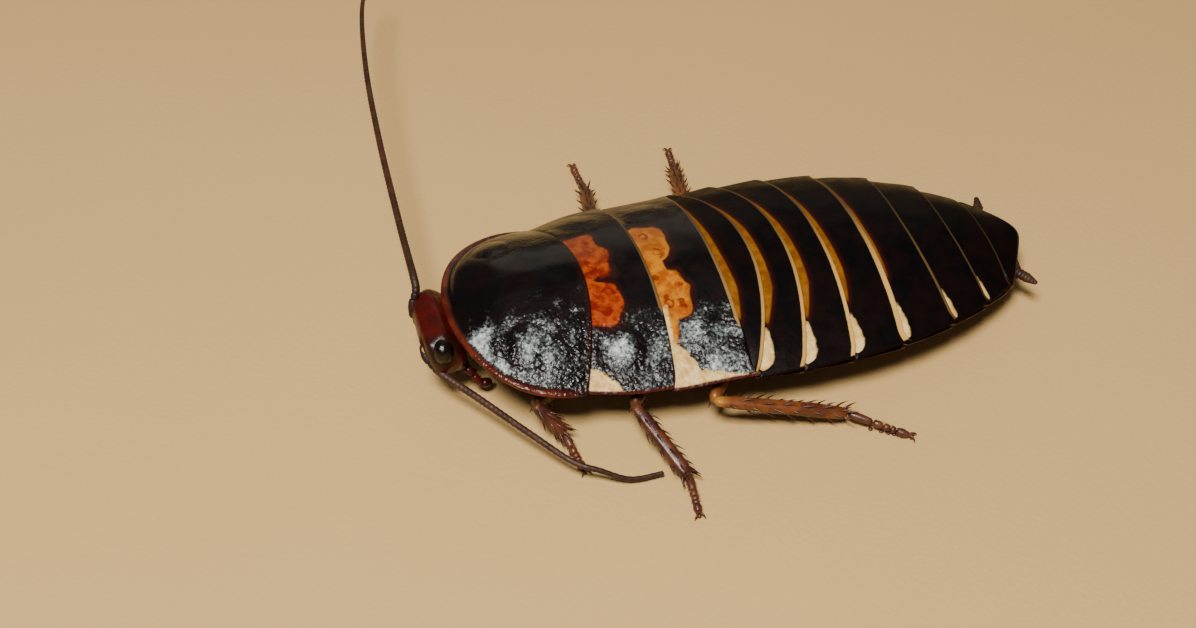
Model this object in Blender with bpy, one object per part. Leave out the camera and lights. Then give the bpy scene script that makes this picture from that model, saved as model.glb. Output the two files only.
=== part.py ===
"""A wingless banded cockroach, life-size, standing still on its six feet.

Sizes are in millimetres along the animal: "station" runs from the front of the head to the tail,
"lateral" is positive on the animal's left, and heights are measured from the floor.
"""
import math
import random

import bmesh
import bpy
import numpy as np
from mathutils import Vector

MM = 0.001
GAP = 0.3
PART_NAME = "wingless_cockroach"

# The origin is the middle of the whole object's box, on the floor.
ORIGIN_STATION = 21.7
ORIGIN_LATERAL = -12.2

# The thorax and abdomen: half width, height of the side margin and height of the arch.
BODY_STATIONS = (9.4, 12.2, 15.0, 19.0, 25.0, 32.0, 38.0, 42.0, 45.0)
HALF_WIDTHS = (8.75, 9.6, 9.9, 10.0, 10.3, 9.6, 7.5, 5.0, 2.4)
MARGIN_HEIGHTS = (5.05, 4.97, 4.9, 4.8, 4.7, 4.6, 4.2, 3.5, 2.9)
ARCH_HEIGHTS = (3.3, 3.1, 2.9, 2.8, 2.7, 2.4, 1.9, 1.4, 0.9)
BELLY_HEIGHTS = (3.4, 3.4, 3.4, 3.5, 3.1, 2.1, 1.9, 1.8, 1.8)
ARCH_POWER = 2.3
BELLY_POWER = 4.0
MARGIN_THICKNESS = 0.5
ARCH_THICKENING = 0.12
PLATE_LIFT = 0.35

# The pronotum is a domed shield with a half-oval front.
PRONOTUM_HALF_WIDTH = 8.75
PRONOTUM_SHIFT = 0.15
PRONOTUM_FRONT = 1.6
PRONOTUM_WIDEST = 8.65
PRONOTUM_HIND = 11.1
PRONOTUM_HIND_SWEEP = 2.0
PRONOTUM_DOME = 3.3
PRONOTUM_FRONT_HEIGHT = 6.45
PRONOTUM_HIND_HEIGHT = 5.0
PRONOTUM_RIM_POWER = 2.5
PRONOTUM_POWER = 2.0
PRONOTUM_FRONT_POWER = 2.15
DOME_POWER = 0.95
UNDERSIDE_SHARE = 0.84

# Hind margin of each plate behind the pronotum: station on the midline, and how far the corners
# lie behind it.
PLATE_MARGINS = (
    ("mesonotum", 15.7, -0.8),
    ("metanotum", 20.6, -0.4),
    ("abdomen_1", 23.4, -2.6),
    ("abdomen_2", 26.0, -2.0),
    ("abdomen_3", 28.7, -0.95),
    ("abdomen_4", 32.0, -0.4),
    ("abdomen_5", 35.3, 0.5),
    ("abdomen_6", 38.6, 0.5),
    ("abdomen_7", 41.5, 0.1),
    ("tail_plate", 44.6, -2.2),
)
PLATE_COLUMNS = 20
PLATE_ROWS = 3

# The head hangs below the front of the pronotum with the mouth turned a little back.
HEAD_CENTRE = (0.0, 0.98, 4.2)
HEAD_RADII = (3.2, 1.15, 2.42)
HEAD_TILT = math.radians(15.5)
HEAD_TAPER = 0.15
HEAD_SQUARENESS = 0.7
EYE_CENTRE = (2.75, 0.98, 5.42)
EYE_RADII = (0.72, 0.72, 1.08)

# The mouth: the labrum's path, the slope of its root and radii, then the left palp's.
LABRUM_PATH = ((0.0, 1.7, 1.8), (0.0, 1.86, 1.36), (0.0, 2.06, 0.92))
LABRUM_SLOPE = (0.0, 0.32, -1.0)
LABRUM_RADII = (1.1, 1.0, 0.55)
PALP_PATH = ((1.7, 2.4, 2.9), (2.3, 2.8, 2.2), (2.4, 3.3, 1.5), (2.0, 4.0, 1.0))
PALP_RADII = (0.3, 0.28, 0.28, 0.3)

# Feelers: points from the socket on the head to the tip, and the radius at each end.
ANTENNA_RIGHT = (
    (-1.45, -0.55, 5.15),
    (-1.85, -0.84, 6.05),
    (-2.3, -0.15, 6.95),
    (-3.0, 0.05, 7.4),
    (-5.0, 0.1, 7.55),
    (-9.0, 0.2, 7.9),
    (-17.0, 0.5, 8.8),
    (-26.0, 1.2, 9.2),
    (-35.5, 2.6, 8.6),
    (-42.0, 4.4, 7.4),
)
ANTENNA_LEFT = (
    (1.45, -0.55, 5.15),
    (2.2, -0.62, 4.3),
    (3.3, 0.6, 3.35),
    (5.3, 2.4, 3.0),
    (9.0, 5.1, 2.4),
    (11.7, 7.3, 1.8),
    (12.6, 8.9, 1.4),
    (13.2, 10.9, 0.6),
    (13.2, 13.2, 0.5),
)
SCAPE_LENGTH = 1.85
SCAPE_RADII = (0.25, 0.34, 0.36, 0.35, 0.32)
RIGHT_SOCKET_FACING = (-0.32, -0.7, 0.75)
LEFT_SOCKET_FACING = (0.6, -0.65, -0.6)
FEELER_ROOT_RADIUS = 0.32
FEELER_TIP_RADIUS = 0.2

# The left cercus, and the three blocks of the thorax: front, hind end and half width.
CERCUS_PATH = ((3.45, 43.3, 3.0), (4.3, 43.65, 3.0), (5.2, 43.9, 3.2))
CERCUS_RADII = (0.42, 0.4, 0.2)
THORAX_BLOCKS = (
    ("prothorax", 2.95, 10.5, 6.0),
    ("mesothorax", 11.2, 15.2, 7.4),
    ("metathorax", 15.9, 20.2, 7.8),
)
NECK_SWEEP = 2.2
CHEST_HEIGHT = 3.4
CHEST_EDGE_RISE = 0.8

LIMB_SIDES = 10

# The tibia's spines: the rows' places round the limb, the stretch of it that they fill, how they
# lean, their lengths and how deep their roots are sunk.
SPINE_SIDES = 5
SPINE_ROOT_RADIUS = 0.26
SPINE_TIP_SHARE = 0.08
SPINE_SEAT = 0.5
SPINE_SINK = 0.35
SPINE_ROW_TURN = 125.0
SPINE_TURN_VARIATION = 14.0
SPINE_START = 0.16
SPINE_STRETCH = 0.66
SPINE_DROP = 0.6
SPINE_RISE = 0.25
SPINE_LEAN = 0.9
SPINE_LENGTHS = (1.25, 1.7)

# Each leg: points of the coxa, the femur, the tibia and the tarsus from root to foot.
LEGS = {
    "front_left": {
        "coxa": ((3.0, 7.6, 3.1), (3.3, 8.4, 2.05), (4.1, 8.9, 1.9)),
        "knee": (7.3, 5.9, 3.3),
        "ankle": (8.5, 7.6, 1.2),
        "foot": (11.2, 8.2, 0.3),
        "spines": 8,
    },
    "front_right": {
        "coxa": ((-3.0, 7.6, 3.1), (-3.3, 8.4, 2.05), (-4.1, 8.9, 1.9)),
        "knee": (-7.3, 6.0, 3.3),
        "ankle": (-8.4, 7.9, 1.2),
        "foot": (-10.7, 8.9, 0.3),
        "spines": 8,
    },
    "middle_left": {
        "coxa": ((3.1, 12.8, 3.1), (3.4, 14.0, 2.05), (4.2, 15.4, 1.9)),
        "knee": (9.2, 12.3, 3.3),
        "ankle": (14.3, 14.6, 0.9),
        "foot": (17.0, 14.4, 0.3),
        "spines": 11,
    },
    "middle_right": {
        "coxa": ((-3.1, 12.8, 3.1), (-3.4, 14.0, 2.05), (-4.2, 15.4, 1.9)),
        "knee": (-9.8, 14.9, 3.3),
        "ankle": (-16.9, 16.2, 1.0),
        "foot": (-20.9, 16.3, 0.3),
        "spines": 11,
    },
    "hind_left": {
        "coxa": ((3.2, 17.8, 3.1), (3.5, 19.2, 2.05), (4.2, 21.2, 1.9)),
        "knee": (10.2, 17.6, 3.2),
        "ankle": (11.9, 26.8, 1.1),
        "foot": (14.3, 30.4, 0.3),
        "spines": 14,
    },
    "hind_right": {
        "coxa": ((-3.2, 17.8, 3.1), (-3.5, 19.2, 2.05), (-4.2, 21.2, 1.9)),
        "knee": (-10.7, 22.3, 2.8),
        "ankle": (-17.3, 23.7, 1.1),
        "foot": (-20.8, 24.3, 0.3),
        "spines": 14,
    },
}
COXA_RADII = (0.8, 0.95, 0.65)
FEMUR_RADII = (0.55, 0.78, 0.72, 0.42)
TIBIA_RADII = (0.4, 0.55, 0.6, 0.42)
TARSUS_RADII = (0.32, 0.32, 0.34, 0.36)
FEMUR_STOPS = (0.0, 0.33, 0.7, 1.0)
TIBIA_STOPS = (0.0, 0.3, 0.75, 1.0)
TARSUS_STOPS = (0.0, 0.35, 0.7, 1.0)

# The two claws of a foot: how far back their roots lie, how far the tips reach and spread.
CLAW_RADIUS = 0.24
CLAW_ROOT_BACK = 0.45
CLAW_ROOT_RISE = 0.06
CLAW_REACH = 0.5
CLAW_SPREAD = 0.54
CLAW_TIP_HEIGHT = 0.14

COLOURS = {
    "shell": ((0.014, 0.010, 0.011), 0.25),
    "maroon": ((0.10, 0.016, 0.010), 0.3),
    "leg": ((0.16, 0.040, 0.014), 0.35),
    "eye": ((0.006, 0.005, 0.006), 0.1),
    "feeler": ((0.07, 0.035, 0.02), 0.4),
}


def clear_scene():
    """Removes whatever the file opened with."""
    for item in list(bpy.data.objects):
        bpy.data.objects.remove(item, do_unlink=True)


def place(lateral, station, height):
    """The point in metres for a lateral place, a station and a height in millimetres."""
    return Vector(((lateral - ORIGIN_LATERAL) * MM, (station - ORIGIN_STATION) * MM, height * MM))


def material(name, colour_name):
    """A Principled material with the piece's colour and roughness."""
    colour, roughness = COLOURS[colour_name]
    made = bpy.data.materials.new(name)
    made.use_nodes = True
    principled = made.node_tree.nodes["Principled BSDF"]
    principled.inputs["Base Color"].default_value = (*colour, 1.0)
    principled.inputs["Roughness"].default_value = roughness
    principled.inputs["Metallic"].default_value = 0.0
    return made


def add_object(name, mesh, collection, colour_name=None):
    """Links a mesh as a named object, with its own material unless it is a cutter."""
    made = bpy.data.objects.new(name, mesh)
    collection.objects.link(made)
    if colour_name:
        mesh.materials.append(material(name, colour_name))
        mesh.shade_smooth()
        mesh.set_sharp_from_angle(angle=math.radians(38))
    return made


def outward(mesh):
    """Turns the faces of a closed mesh to point out."""
    work = bmesh.new()
    work.from_mesh(mesh)
    bmesh.ops.recalc_face_normals(work, faces=work.faces)
    work.to_mesh(mesh)
    work.free()


def smooth_value(stations, values, station):
    """A smooth curve through a few values: cubic pieces with the slopes of their neighbours."""
    stations = np.asarray(stations, dtype=float)
    values = np.asarray(values, dtype=float)
    slopes = np.gradient(values, stations)
    station = np.clip(station, stations[0], stations[-1])
    index = np.clip(np.searchsorted(stations, station) - 1, 0, len(stations) - 2)
    span = stations[index + 1] - stations[index]
    part = (station - stations[index]) / span
    start = values[index] * (1 + 2 * part) + slopes[index] * span * part
    end = values[index + 1] * (3 - 2 * part) - slopes[index + 1] * span * (1 - part)
    return start * (1 - part) ** 2 + end * part**2


def half_width(station):
    """Half the body's width at a station."""
    return smooth_value(BODY_STATIONS, HALF_WIDTHS, station)


def margin_height(station):
    """Height of the side margin at a station."""
    return smooth_value(BODY_STATIONS, MARGIN_HEIGHTS, station)


def arch_height(station):
    """Height of the back on the midline above the side margin."""
    return smooth_value(BODY_STATIONS, ARCH_HEIGHTS, station)


def belly_height(station):
    """Height of the belly on the midline."""
    return smooth_value(BODY_STATIONS, BELLY_HEIGHTS, station)


def plate_arch(across, station):
    """Height of the back above its side margin."""
    return arch_height(station) * (1 - np.abs(across) ** ARCH_POWER)


def plate_top(across, station, along):
    """Upper face of a plate, which rises towards its hind margin over the next plate."""
    return margin_height(station) + plate_arch(across, station) + PLATE_LIFT * (along - 1)


def plate_under(across, station, along):
    """Lower face of a thoracic plate: thin at the sides and thicker in the middle."""
    thickness = MARGIN_THICKNESS + ARCH_THICKENING * plate_arch(across, station)
    return plate_top(across, station, along) - thickness


def belly(across, station):
    """Lower face of the abdomen, from the thin side margin down to the belly."""
    side = margin_height(station) - MARGIN_THICKNESS - PLATE_LIFT
    depth = np.maximum(side - belly_height(station), 0.1)
    return side - depth * (1 - np.abs(across) ** BELLY_POWER)


def dome(lateral, station):
    """Height of the pronotum above its rim."""
    forward = np.clip((PRONOTUM_WIDEST - station) / (PRONOTUM_WIDEST - PRONOTUM_FRONT), 0, 1)
    across = (lateral - PRONOTUM_SHIFT) / PRONOTUM_HALF_WIDTH
    reach = np.abs(across) ** PRONOTUM_POWER + forward**PRONOTUM_FRONT_POWER
    return PRONOTUM_DOME * np.clip(1 - reach, 0, 1) ** DOME_POWER


def pronotum_rim(station):
    """Height of the pronotum's rim, which rises towards the front."""
    left = np.clip((PRONOTUM_HIND - station) / (PRONOTUM_HIND - PRONOTUM_FRONT), 0, 1)
    rise = PRONOTUM_FRONT_HEIGHT - PRONOTUM_HIND_HEIGHT
    return PRONOTUM_HIND_HEIGHT + rise * left**PRONOTUM_RIM_POWER


def pronotum_under(lateral, station):
    """Lower face of the pronotum, whose wall thickens towards the top of the dome."""
    height = dome(lateral, station)
    return pronotum_rim(station) + height * UNDERSIDE_SHARE - MARGIN_THICKNESS


def closed_grid(name, laterals, stations, tops, unders, collection, colour_name):
    """A closed solid between an upper and a lower face over the same grid of places."""
    rows, columns = laterals.shape
    upper = [place(*point) for point in zip(laterals.ravel(), stations.ravel(), tops.ravel())]
    lower = [place(*point) for point in zip(laterals.ravel(), stations.ravel(), unders.ravel())]
    count = rows * columns
    faces = []
    for row in range(rows - 1):
        for column in range(columns - 1):
            corner = row * columns + column
            quad = (corner, corner + 1, corner + columns + 1, corner + columns)
            faces.append(quad)
            faces.append(tuple(count + index for index in reversed(quad)))
    rim = list(range(columns))
    rim += [row * columns + columns - 1 for row in range(1, rows)]
    rim += [(rows - 1) * columns + column for column in range(columns - 2, -1, -1)]
    rim += [row * columns for row in range(rows - 2, 0, -1)]
    for start, end in zip(rim, rim[1:] + rim[:1]):
        faces.append((start, end, count + end, count + start))
    mesh = bpy.data.meshes.new(name)
    mesh.from_pydata(upper + lower, [], faces)
    outward(mesh)
    return add_object(name, mesh, collection, colour_name)


def column_places():
    """Places across a plate from -1 to 1, closer together near the sides."""
    return np.sin(np.linspace(-math.pi / 2, math.pi / 2, PLATE_COLUMNS + 1))


def grid_between(front, hind, rows):
    """Stations of a grid whose rows run from a front curve to a hind curve."""
    along = np.linspace(0, 1, rows + 1)[:, None]
    return front[None, :] * (1 - along) + hind[None, :] * along, np.repeat(along, len(front), 1)


def build_pronotum(collection):
    """The domed shield, from its half-oval front to its swept hind margin."""
    across = column_places()
    lateral = across * PRONOTUM_HALF_WIDTH + PRONOTUM_SHIFT
    bulge = np.clip(1 - np.abs(across) ** PRONOTUM_POWER, 0, 1) ** (1 / PRONOTUM_FRONT_POWER)
    front = PRONOTUM_WIDEST - (PRONOTUM_WIDEST - PRONOTUM_FRONT) * bulge
    hind = PRONOTUM_HIND - PRONOTUM_HIND_SWEEP * across**2
    stations, _ = grid_between(front, hind, 6)
    laterals = np.repeat(lateral[None, :], stations.shape[0], 0)
    tops = pronotum_rim(stations) + dome(laterals, stations)
    unders = pronotum_under(laterals, stations)
    closed_grid("pronotum", laterals, stations, tops, unders, collection, "shell")


def build_plates(collection):
    """The thoracic plates behind the pronotum and the segments of the abdomen."""
    across = column_places()
    front = PRONOTUM_HIND - PRONOTUM_HIND_SWEEP * across**2
    for name, station, sweep in PLATE_MARGINS:
        hind = station + sweep * across**2
        start = front + GAP
        front = hind
        stations, along = grid_between(start, hind, PLATE_ROWS)
        spread = np.repeat(across[None, :], stations.shape[0], 0)
        laterals = spread * half_width(stations)
        tops = plate_top(spread, stations, along)
        thoracic = name in ("mesonotum", "metanotum")
        unders = plate_under(spread, stations, along) if thoracic else belly(spread, stations)
        closed_grid(name, laterals, stations, tops, unders, collection, "shell")


def build_thorax_blocks(collection):
    """The three body blocks that hang under the thoracic plates and carry the legs."""
    columns = np.linspace(-1, 1, 13)
    for name, front, hind, width in THORAX_BLOCKS:
        first = name == "prothorax"
        start = np.full(columns.shape, front)
        end = np.full(columns.shape, hind)
        if first:
            start = front + NECK_SWEEP * columns**2
            end = hind - PRONOTUM_HIND_SWEEP * (columns * width / PRONOTUM_HALF_WIDTH) ** 2
        stations, _ = grid_between(start, end, 4)
        laterals = np.repeat((columns * width)[None, :], stations.shape[0], 0)
        if first:
            tops = pronotum_under(laterals, stations) - GAP
        else:
            across = laterals / half_width(stations)
            tops = plate_under(across, stations, 0.0) - GAP
        unders = np.repeat(CHEST_HEIGHT + CHEST_EDGE_RISE * columns[None, :] ** 6, len(stations), 0)
        closed_grid(name, laterals, stations, tops, unders, collection, "maroon")


def ring(centre, normal, first, radius_first, radius_second, sides):
    """Points of an oval across a direction."""
    second = normal.cross(first).normalized()
    points = []
    for index in range(sides):
        angle = 2 * math.pi * index / sides
        offset = first * math.cos(angle) * radius_first + second * math.sin(angle) * radius_second
        points.append(centre + offset)
    return points


def tube_mesh(name, centres, normals, radii, sides, reference, flat_floor=False):
    """A loft of rings along a path, closed at both ends; places are in millimetres."""
    first = Vector(reference)
    points = []
    for centre, normal, radius in zip(centres, normals, radii):
        direction = Vector(normal).normalized()
        first = (first - direction * first.dot(direction)).normalized()
        points += ring(Vector(centre), direction, first, radius, radius, sides)
    if flat_floor:
        points = [Vector((point.x, point.y, max(point.z, 0.0))) for point in points]
    rings = len(centres)
    faces = [tuple(range(sides))]
    for index in range(rings - 1):
        for side in range(sides):
            following = (side + 1) % sides
            low = index * sides
            faces.append((low + side, low + following, low + sides + following, low + sides + side))
    faces.append(tuple((rings - 1) * sides + side for side in range(sides)))
    mesh = bpy.data.meshes.new(name)
    mesh.from_pydata([place(*point) for point in points], [], faces)
    outward(mesh)
    return mesh


def path_tube(name, points, radii, start_normal, end_normal, steps, reference, flat_floor=False):
    """A tube along a smooth path that starts and ends half a gap inside its end points."""
    dense = smooth_path(points, steps)
    dense[0] = dense[0] + Vector(start_normal) * GAP / 2
    dense[-1] = dense[-1] - Vector(end_normal) * GAP / 2
    normals = [Vector(start_normal)]
    for index in range(1, len(dense) - 1):
        normals.append((dense[index + 1] - dense[index - 1]).normalized())
    normals.append(Vector(end_normal))
    places = np.linspace(0, 1, len(dense))
    stops = np.linspace(0, 1, len(radii))
    widths = np.interp(places, stops, radii)
    return tube_mesh(name, dense, normals, widths, LIMB_SIDES, reference, flat_floor)


def smooth_path(points, steps):
    """Points on a smooth curve through the given points, with some steps in each stretch."""
    stations = np.arange(len(points), dtype=float)
    wanted = np.linspace(0, len(points) - 1, (len(points) - 1) * steps + 1)
    columns = [smooth_value(stations, [point[axis] for point in points], wanted) for axis in range(3)]
    return [Vector(point) for point in zip(*columns)]


def largest_part(mesh):
    """Keeps the largest closed surface of a mesh and drops loose slivers."""
    work = bmesh.new()
    work.from_mesh(mesh)
    bmesh.ops.remove_doubles(work, verts=work.verts, dist=1e-6)
    remaining = set(work.verts)
    groups = []
    while remaining:
        stack = [remaining.pop()]
        group = set(stack)
        while stack:
            for edge in stack.pop().link_edges:
                for vertex in edge.verts:
                    if vertex in remaining:
                        remaining.remove(vertex)
                        group.add(vertex)
                        stack.append(vertex)
        groups.append(group)
    keep = max(groups, key=len)
    loose = [vertex for vertex in work.verts if vertex not in keep]
    bmesh.ops.delete(work, geom=loose, context="VERTS")
    bmesh.ops.recalc_face_normals(work, faces=work.faces)
    work.to_mesh(mesh)
    work.free()


def cone_mesh(name, root, tip, radius):
    """A five-sided spine from a sunk root to its tip; places are in millimetres."""
    root = place(*root)
    tip = place(*tip)
    work = bmesh.new()
    length = (tip - root).length
    bmesh.ops.create_cone(
        work,
        cap_ends=True,
        segments=SPINE_SIDES,
        radius1=radius * MM,
        radius2=SPINE_TIP_SHARE * radius * MM,
        depth=length,
    )
    turn = Vector((0, 0, 1)).rotation_difference(tip - root)
    for vertex in work.verts:
        vertex.co = turn @ vertex.co + (root + tip) / 2
    mesh = bpy.data.meshes.new(name)
    work.to_mesh(mesh)
    work.free()
    return mesh


def fuse(name, mesh, spines, collection, colour_name):
    """Unites a limb with its spines into one closed surface."""
    limb = add_object(name, mesh, collection)
    spine_set = bpy.data.collections.new(name + "_spines")
    bpy.context.scene.collection.children.link(spine_set)
    for index, (root, tip, radius) in enumerate(spines):
        spine_name = f"{name}_spine_{index}"
        spine = add_object(spine_name, cone_mesh(spine_name, root, tip, radius), spine_set)
        spine.hide_render = True
        spine.display_type = "WIRE"
    union = limb.modifiers.new("spines", "BOOLEAN")
    union.operation = "UNION"
    union.operand_type = "COLLECTION"
    union.collection = spine_set
    union.solver = "EXACT"
    evaluated = limb.evaluated_get(bpy.context.evaluated_depsgraph_get())
    fused = bpy.data.meshes.new_from_object(evaluated)
    largest_part(fused)
    bpy.data.objects.remove(limb, do_unlink=True)
    for spine in list(spine_set.objects):
        bpy.data.objects.remove(spine, do_unlink=True)
    bpy.data.collections.remove(spine_set)
    fused.materials.clear()
    return add_object(name, fused, collection, colour_name)


def bisector(before, joint, after):
    """The direction through a bent joint, halfway between its two limbs."""
    inward = (Vector(joint) - Vector(before)).normalized()
    onward = (Vector(after) - Vector(joint)).normalized()
    return (inward + onward).normalized()


def tibia_spines(knee, ankle, count, chance):
    """Spines along a tibia, in turn at its sides and at either side of its lower face."""
    knee = Vector(knee)
    ankle = Vector(ankle)
    axis = (ankle - knee).normalized()
    side = axis.cross(Vector((0, 0, 1))).normalized()
    lift = side.cross(axis).normalized()
    length = (ankle - knee).length
    spines = []
    for index in range(count):
        part = SPINE_START + SPINE_STRETCH * index / (count - 1)
        varied = chance.uniform(-SPINE_TURN_VARIATION, SPINE_TURN_VARIATION)
        turn = math.radians((0, SPINE_ROW_TURN, -SPINE_ROW_TURN)[index % 3] + varied)
        outwards = lift * math.cos(turn) * SPINE_DROP + side * math.sin(turn)
        if index % 3 == 0:
            outwards = side * (1 if index % 2 else -1) + lift * SPINE_RISE
        outwards = outwards.normalized()
        middle = knee + axis * length * part
        lean = (outwards + axis * SPINE_LEAN).normalized()
        reach = chance.uniform(*SPINE_LENGTHS)
        root = middle + outwards * (SPINE_SEAT - SPINE_SINK)
        spines.append((root, root + lean * (reach + SPINE_SINK), SPINE_ROOT_RADIUS))
    return spines


def build_leg(name, leg, collection, chance):
    """The coxa, femur, tibia and tarsus of one leg, each meeting the next face to face."""
    hip = leg["coxa"][-1]
    knee, ankle, foot = leg["knee"], leg["ankle"], leg["foot"]
    down = Vector((0, 0, -1))
    hip_normal = bisector(leg["coxa"][-2], hip, knee)
    knee_normal = bisector(hip, knee, ankle)
    ankle_normal = bisector(knee, ankle, foot)
    foot_normal = (Vector(foot) - Vector(ankle)).normalized()
    coxa = path_tube(
        "coxa_" + name, leg["coxa"], COXA_RADII, down, hip_normal, 2, (0, 1, 0)
    )
    add_object("coxa_" + name, coxa, collection, "maroon")
    femur_path = [Vector(hip).lerp(Vector(knee), part) for part in FEMUR_STOPS]
    femur = path_tube(
        "femur_" + name, femur_path, FEMUR_RADII, hip_normal, knee_normal, 1, (0, 0, 1)
    )
    add_object("femur_" + name, femur, collection, "leg")
    tibia_path = [Vector(knee).lerp(Vector(ankle), part) for part in TIBIA_STOPS]
    tibia = path_tube(
        "tibia_" + name, tibia_path, TIBIA_RADII, knee_normal, ankle_normal, 1, (0, 0, 1)
    )
    fuse("tibia_" + name, tibia, tibia_spines(knee, ankle, leg["spines"], chance), collection, "leg")
    tarsus_path = [Vector(ankle).lerp(Vector(foot), part) for part in TARSUS_STOPS]
    tarsus_path[2].z = min(tarsus_path[2].z, TARSUS_RADII[2])
    tarsus = path_tube(
        "tarsus_" + name, tarsus_path, TARSUS_RADII, ankle_normal, foot_normal, 1, (0, 0, 1), True
    )
    heading = Vector((foot_normal.x, foot_normal.y, 0)).normalized()
    across = Vector((-heading.y, heading.x, 0))
    end = Vector(foot)
    claws = []
    for turn in (-1, 1):
        root = end - heading * CLAW_ROOT_BACK + Vector((0, 0, CLAW_ROOT_RISE))
        tip = end + heading * CLAW_REACH + across * turn * CLAW_SPREAD
        tip.z = CLAW_TIP_HEIGHT
        claws.append((root, tip, CLAW_RADIUS))
    fuse("tarsus_" + name, tarsus, claws, collection, "leg")


def head_shape(name, grown):
    """The head: an ovoid that narrows towards the mouth, tilted with the mouth turned back."""
    work = bmesh.new()
    bmesh.ops.create_uvsphere(work, u_segments=20, v_segments=12, radius=1.0)
    cosine, sine = math.cos(HEAD_TILT), math.sin(HEAD_TILT)
    for vertex in work.verts:
        girth = max(math.hypot(vertex.co.x, vertex.co.y), 0.01)
        fuller = girth ** (HEAD_SQUARENESS - 1)
        narrow = (1 + HEAD_TAPER * vertex.co.z) * fuller
        lateral = vertex.co.x * (HEAD_RADII[0] + grown) * narrow
        depth = vertex.co.y * (HEAD_RADII[1] + grown) * fuller
        height = vertex.co.z * (HEAD_RADII[2] + grown)
        station = HEAD_CENTRE[1] + depth * cosine - height * sine
        level = HEAD_CENTRE[2] + depth * sine + height * cosine
        vertex.co = place(lateral, station, level)
    mesh = bpy.data.meshes.new(name)
    work.to_mesh(mesh)
    work.free()
    return mesh


def build_head(collection, cutters):
    """The head and its two eyes, which are cut clear of it by the gap."""
    add_object("head", head_shape("head", 0.0), collection, "maroon")
    cutter = add_object("head_clearance", head_shape("head_clearance", GAP), cutters)
    cutter.hide_render = True
    cutter.display_type = "WIRE"
    for name, side in (("eye_left", 1), ("eye_right", -1)):
        work = bmesh.new()
        bmesh.ops.create_uvsphere(work, u_segments=14, v_segments=10, radius=1.0)
        for vertex in work.verts:
            vertex.co = place(
                side * EYE_CENTRE[0] + vertex.co.x * EYE_RADII[0],
                EYE_CENTRE[1] + vertex.co.y * EYE_RADII[1],
                EYE_CENTRE[2] + vertex.co.z * EYE_RADII[2],
            )
        mesh = bpy.data.meshes.new(name)
        work.to_mesh(mesh)
        work.free()
        eye = add_object(name, mesh, collection, "eye")
        cut = eye.modifiers.new("clearance", "BOOLEAN")
        cut.operation = "DIFFERENCE"
        cut.object = cutter
        cut.solver = "EXACT"


def mirrored(path, side):
    """The path on one side of the animal, from the one on its left."""
    return tuple((side * lateral, station, height) for lateral, station, height in path)


def build_mouth(collection):
    """The labrum over the mouth and one jointed palp on each side of it."""
    slope = Vector(LABRUM_SLOPE).normalized()
    labrum = path_tube("labrum", LABRUM_PATH, LABRUM_RADII, slope, slope, 1, (1, 0, 0))
    add_object("labrum", labrum, collection, "maroon")
    for name, side in (("palp_left", 1), ("palp_right", -1)):
        start = Vector((side * 0.7, 0.3, -0.6)).normalized()
        end = Vector((0, 0.8, -0.3)).normalized()
        route = mirrored(PALP_PATH, side)
        palp = path_tube(name, route, PALP_RADII, start, end, 2, (0, 1, 0))
        add_object(name, palp, collection, "leg")


def even_path(points, stops):
    """Points on the smooth curve through the given ones, at distances from its start."""
    dense = smooth_path(points, 12)
    steps = [(after - before).length for before, after in zip(dense, dense[1:])]
    lengths = np.concatenate([[0], np.cumsum(steps)])
    wanted = stops(lengths[-1])
    columns = [np.interp(wanted, lengths, [point[axis] for point in dense]) for axis in range(3)]
    return [Vector(point) for point in zip(*columns)]


def build_antenna(name, route, socket_facing, collection):
    """A feeler of four pieces: a short thick base, then three lengths that thin to the tip."""
    base_steps, piece_steps = 4, 7
    lash_steps = 3 * piece_steps

    def stops(total):
        base = np.linspace(0, SCAPE_LENGTH, base_steps + 1)
        return np.concatenate([base, np.linspace(SCAPE_LENGTH, total, lash_steps + 1)[1:]])

    dense = even_path(route, stops)
    edges = [0, base_steps] + [base_steps + piece_steps * number for number in (1, 2, 3)]
    for piece, (start, end) in enumerate(zip(edges, edges[1:])):
        before, after = max(start - 1, 0), min(end + 1, len(dense) - 1)
        begin = (dense[start + 1] - dense[before]).normalized()
        finish = (dense[after] - dense[end - 1]).normalized()
        if piece == 0:
            begin = Vector(socket_facing).normalized()
            radii = SCAPE_RADII
            piece_name = f"antenna_{name}_base"
        else:
            thinning = (FEELER_TIP_RADIUS - FEELER_ROOT_RADIUS) / 3
            radii = [FEELER_ROOT_RADIUS + thinning * number for number in (piece - 1, piece)]
            piece_name = f"antenna_{name}_{piece}"
        tube = path_tube(piece_name, dense[start : end + 1], radii, begin, finish, 1, (0, 0, 1))
        add_object(piece_name, tube, collection, "feeler")


def build_cerci(collection):
    """The two short tapering tail feelers beside the last plate."""
    for name, side in (("cercus_left", 1), ("cercus_right", -1)):
        start = Vector((side * 0.7, 0.7, 0)).normalized()
        end = Vector((side * 0.9, 0.3, 0.2)).normalized()
        route = mirrored(CERCUS_PATH, side)
        cercus = path_tube(name, route, CERCUS_RADII, start, end, 2, (0, 0, 1))
        add_object(name, cercus, collection, "maroon")


def main():
    """Builds every piece in the collection named for the animal."""
    clear_scene()
    collection = bpy.data.collections.new(PART_NAME)
    cutters = bpy.data.collections.new("cutters")
    bpy.context.scene.collection.children.link(collection)
    bpy.context.scene.collection.children.link(cutters)
    chance = random.Random(7)
    build_pronotum(collection)
    build_plates(collection)
    build_thorax_blocks(collection)
    build_head(collection, cutters)
    build_mouth(collection)
    build_antenna("right", ANTENNA_RIGHT, RIGHT_SOCKET_FACING, collection)
    build_antenna("left", ANTENNA_LEFT, LEFT_SOCKET_FACING, collection)
    build_cerci(collection)
    for name, leg in LEGS.items():
        build_leg(name, leg, collection, chance)


main()
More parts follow.
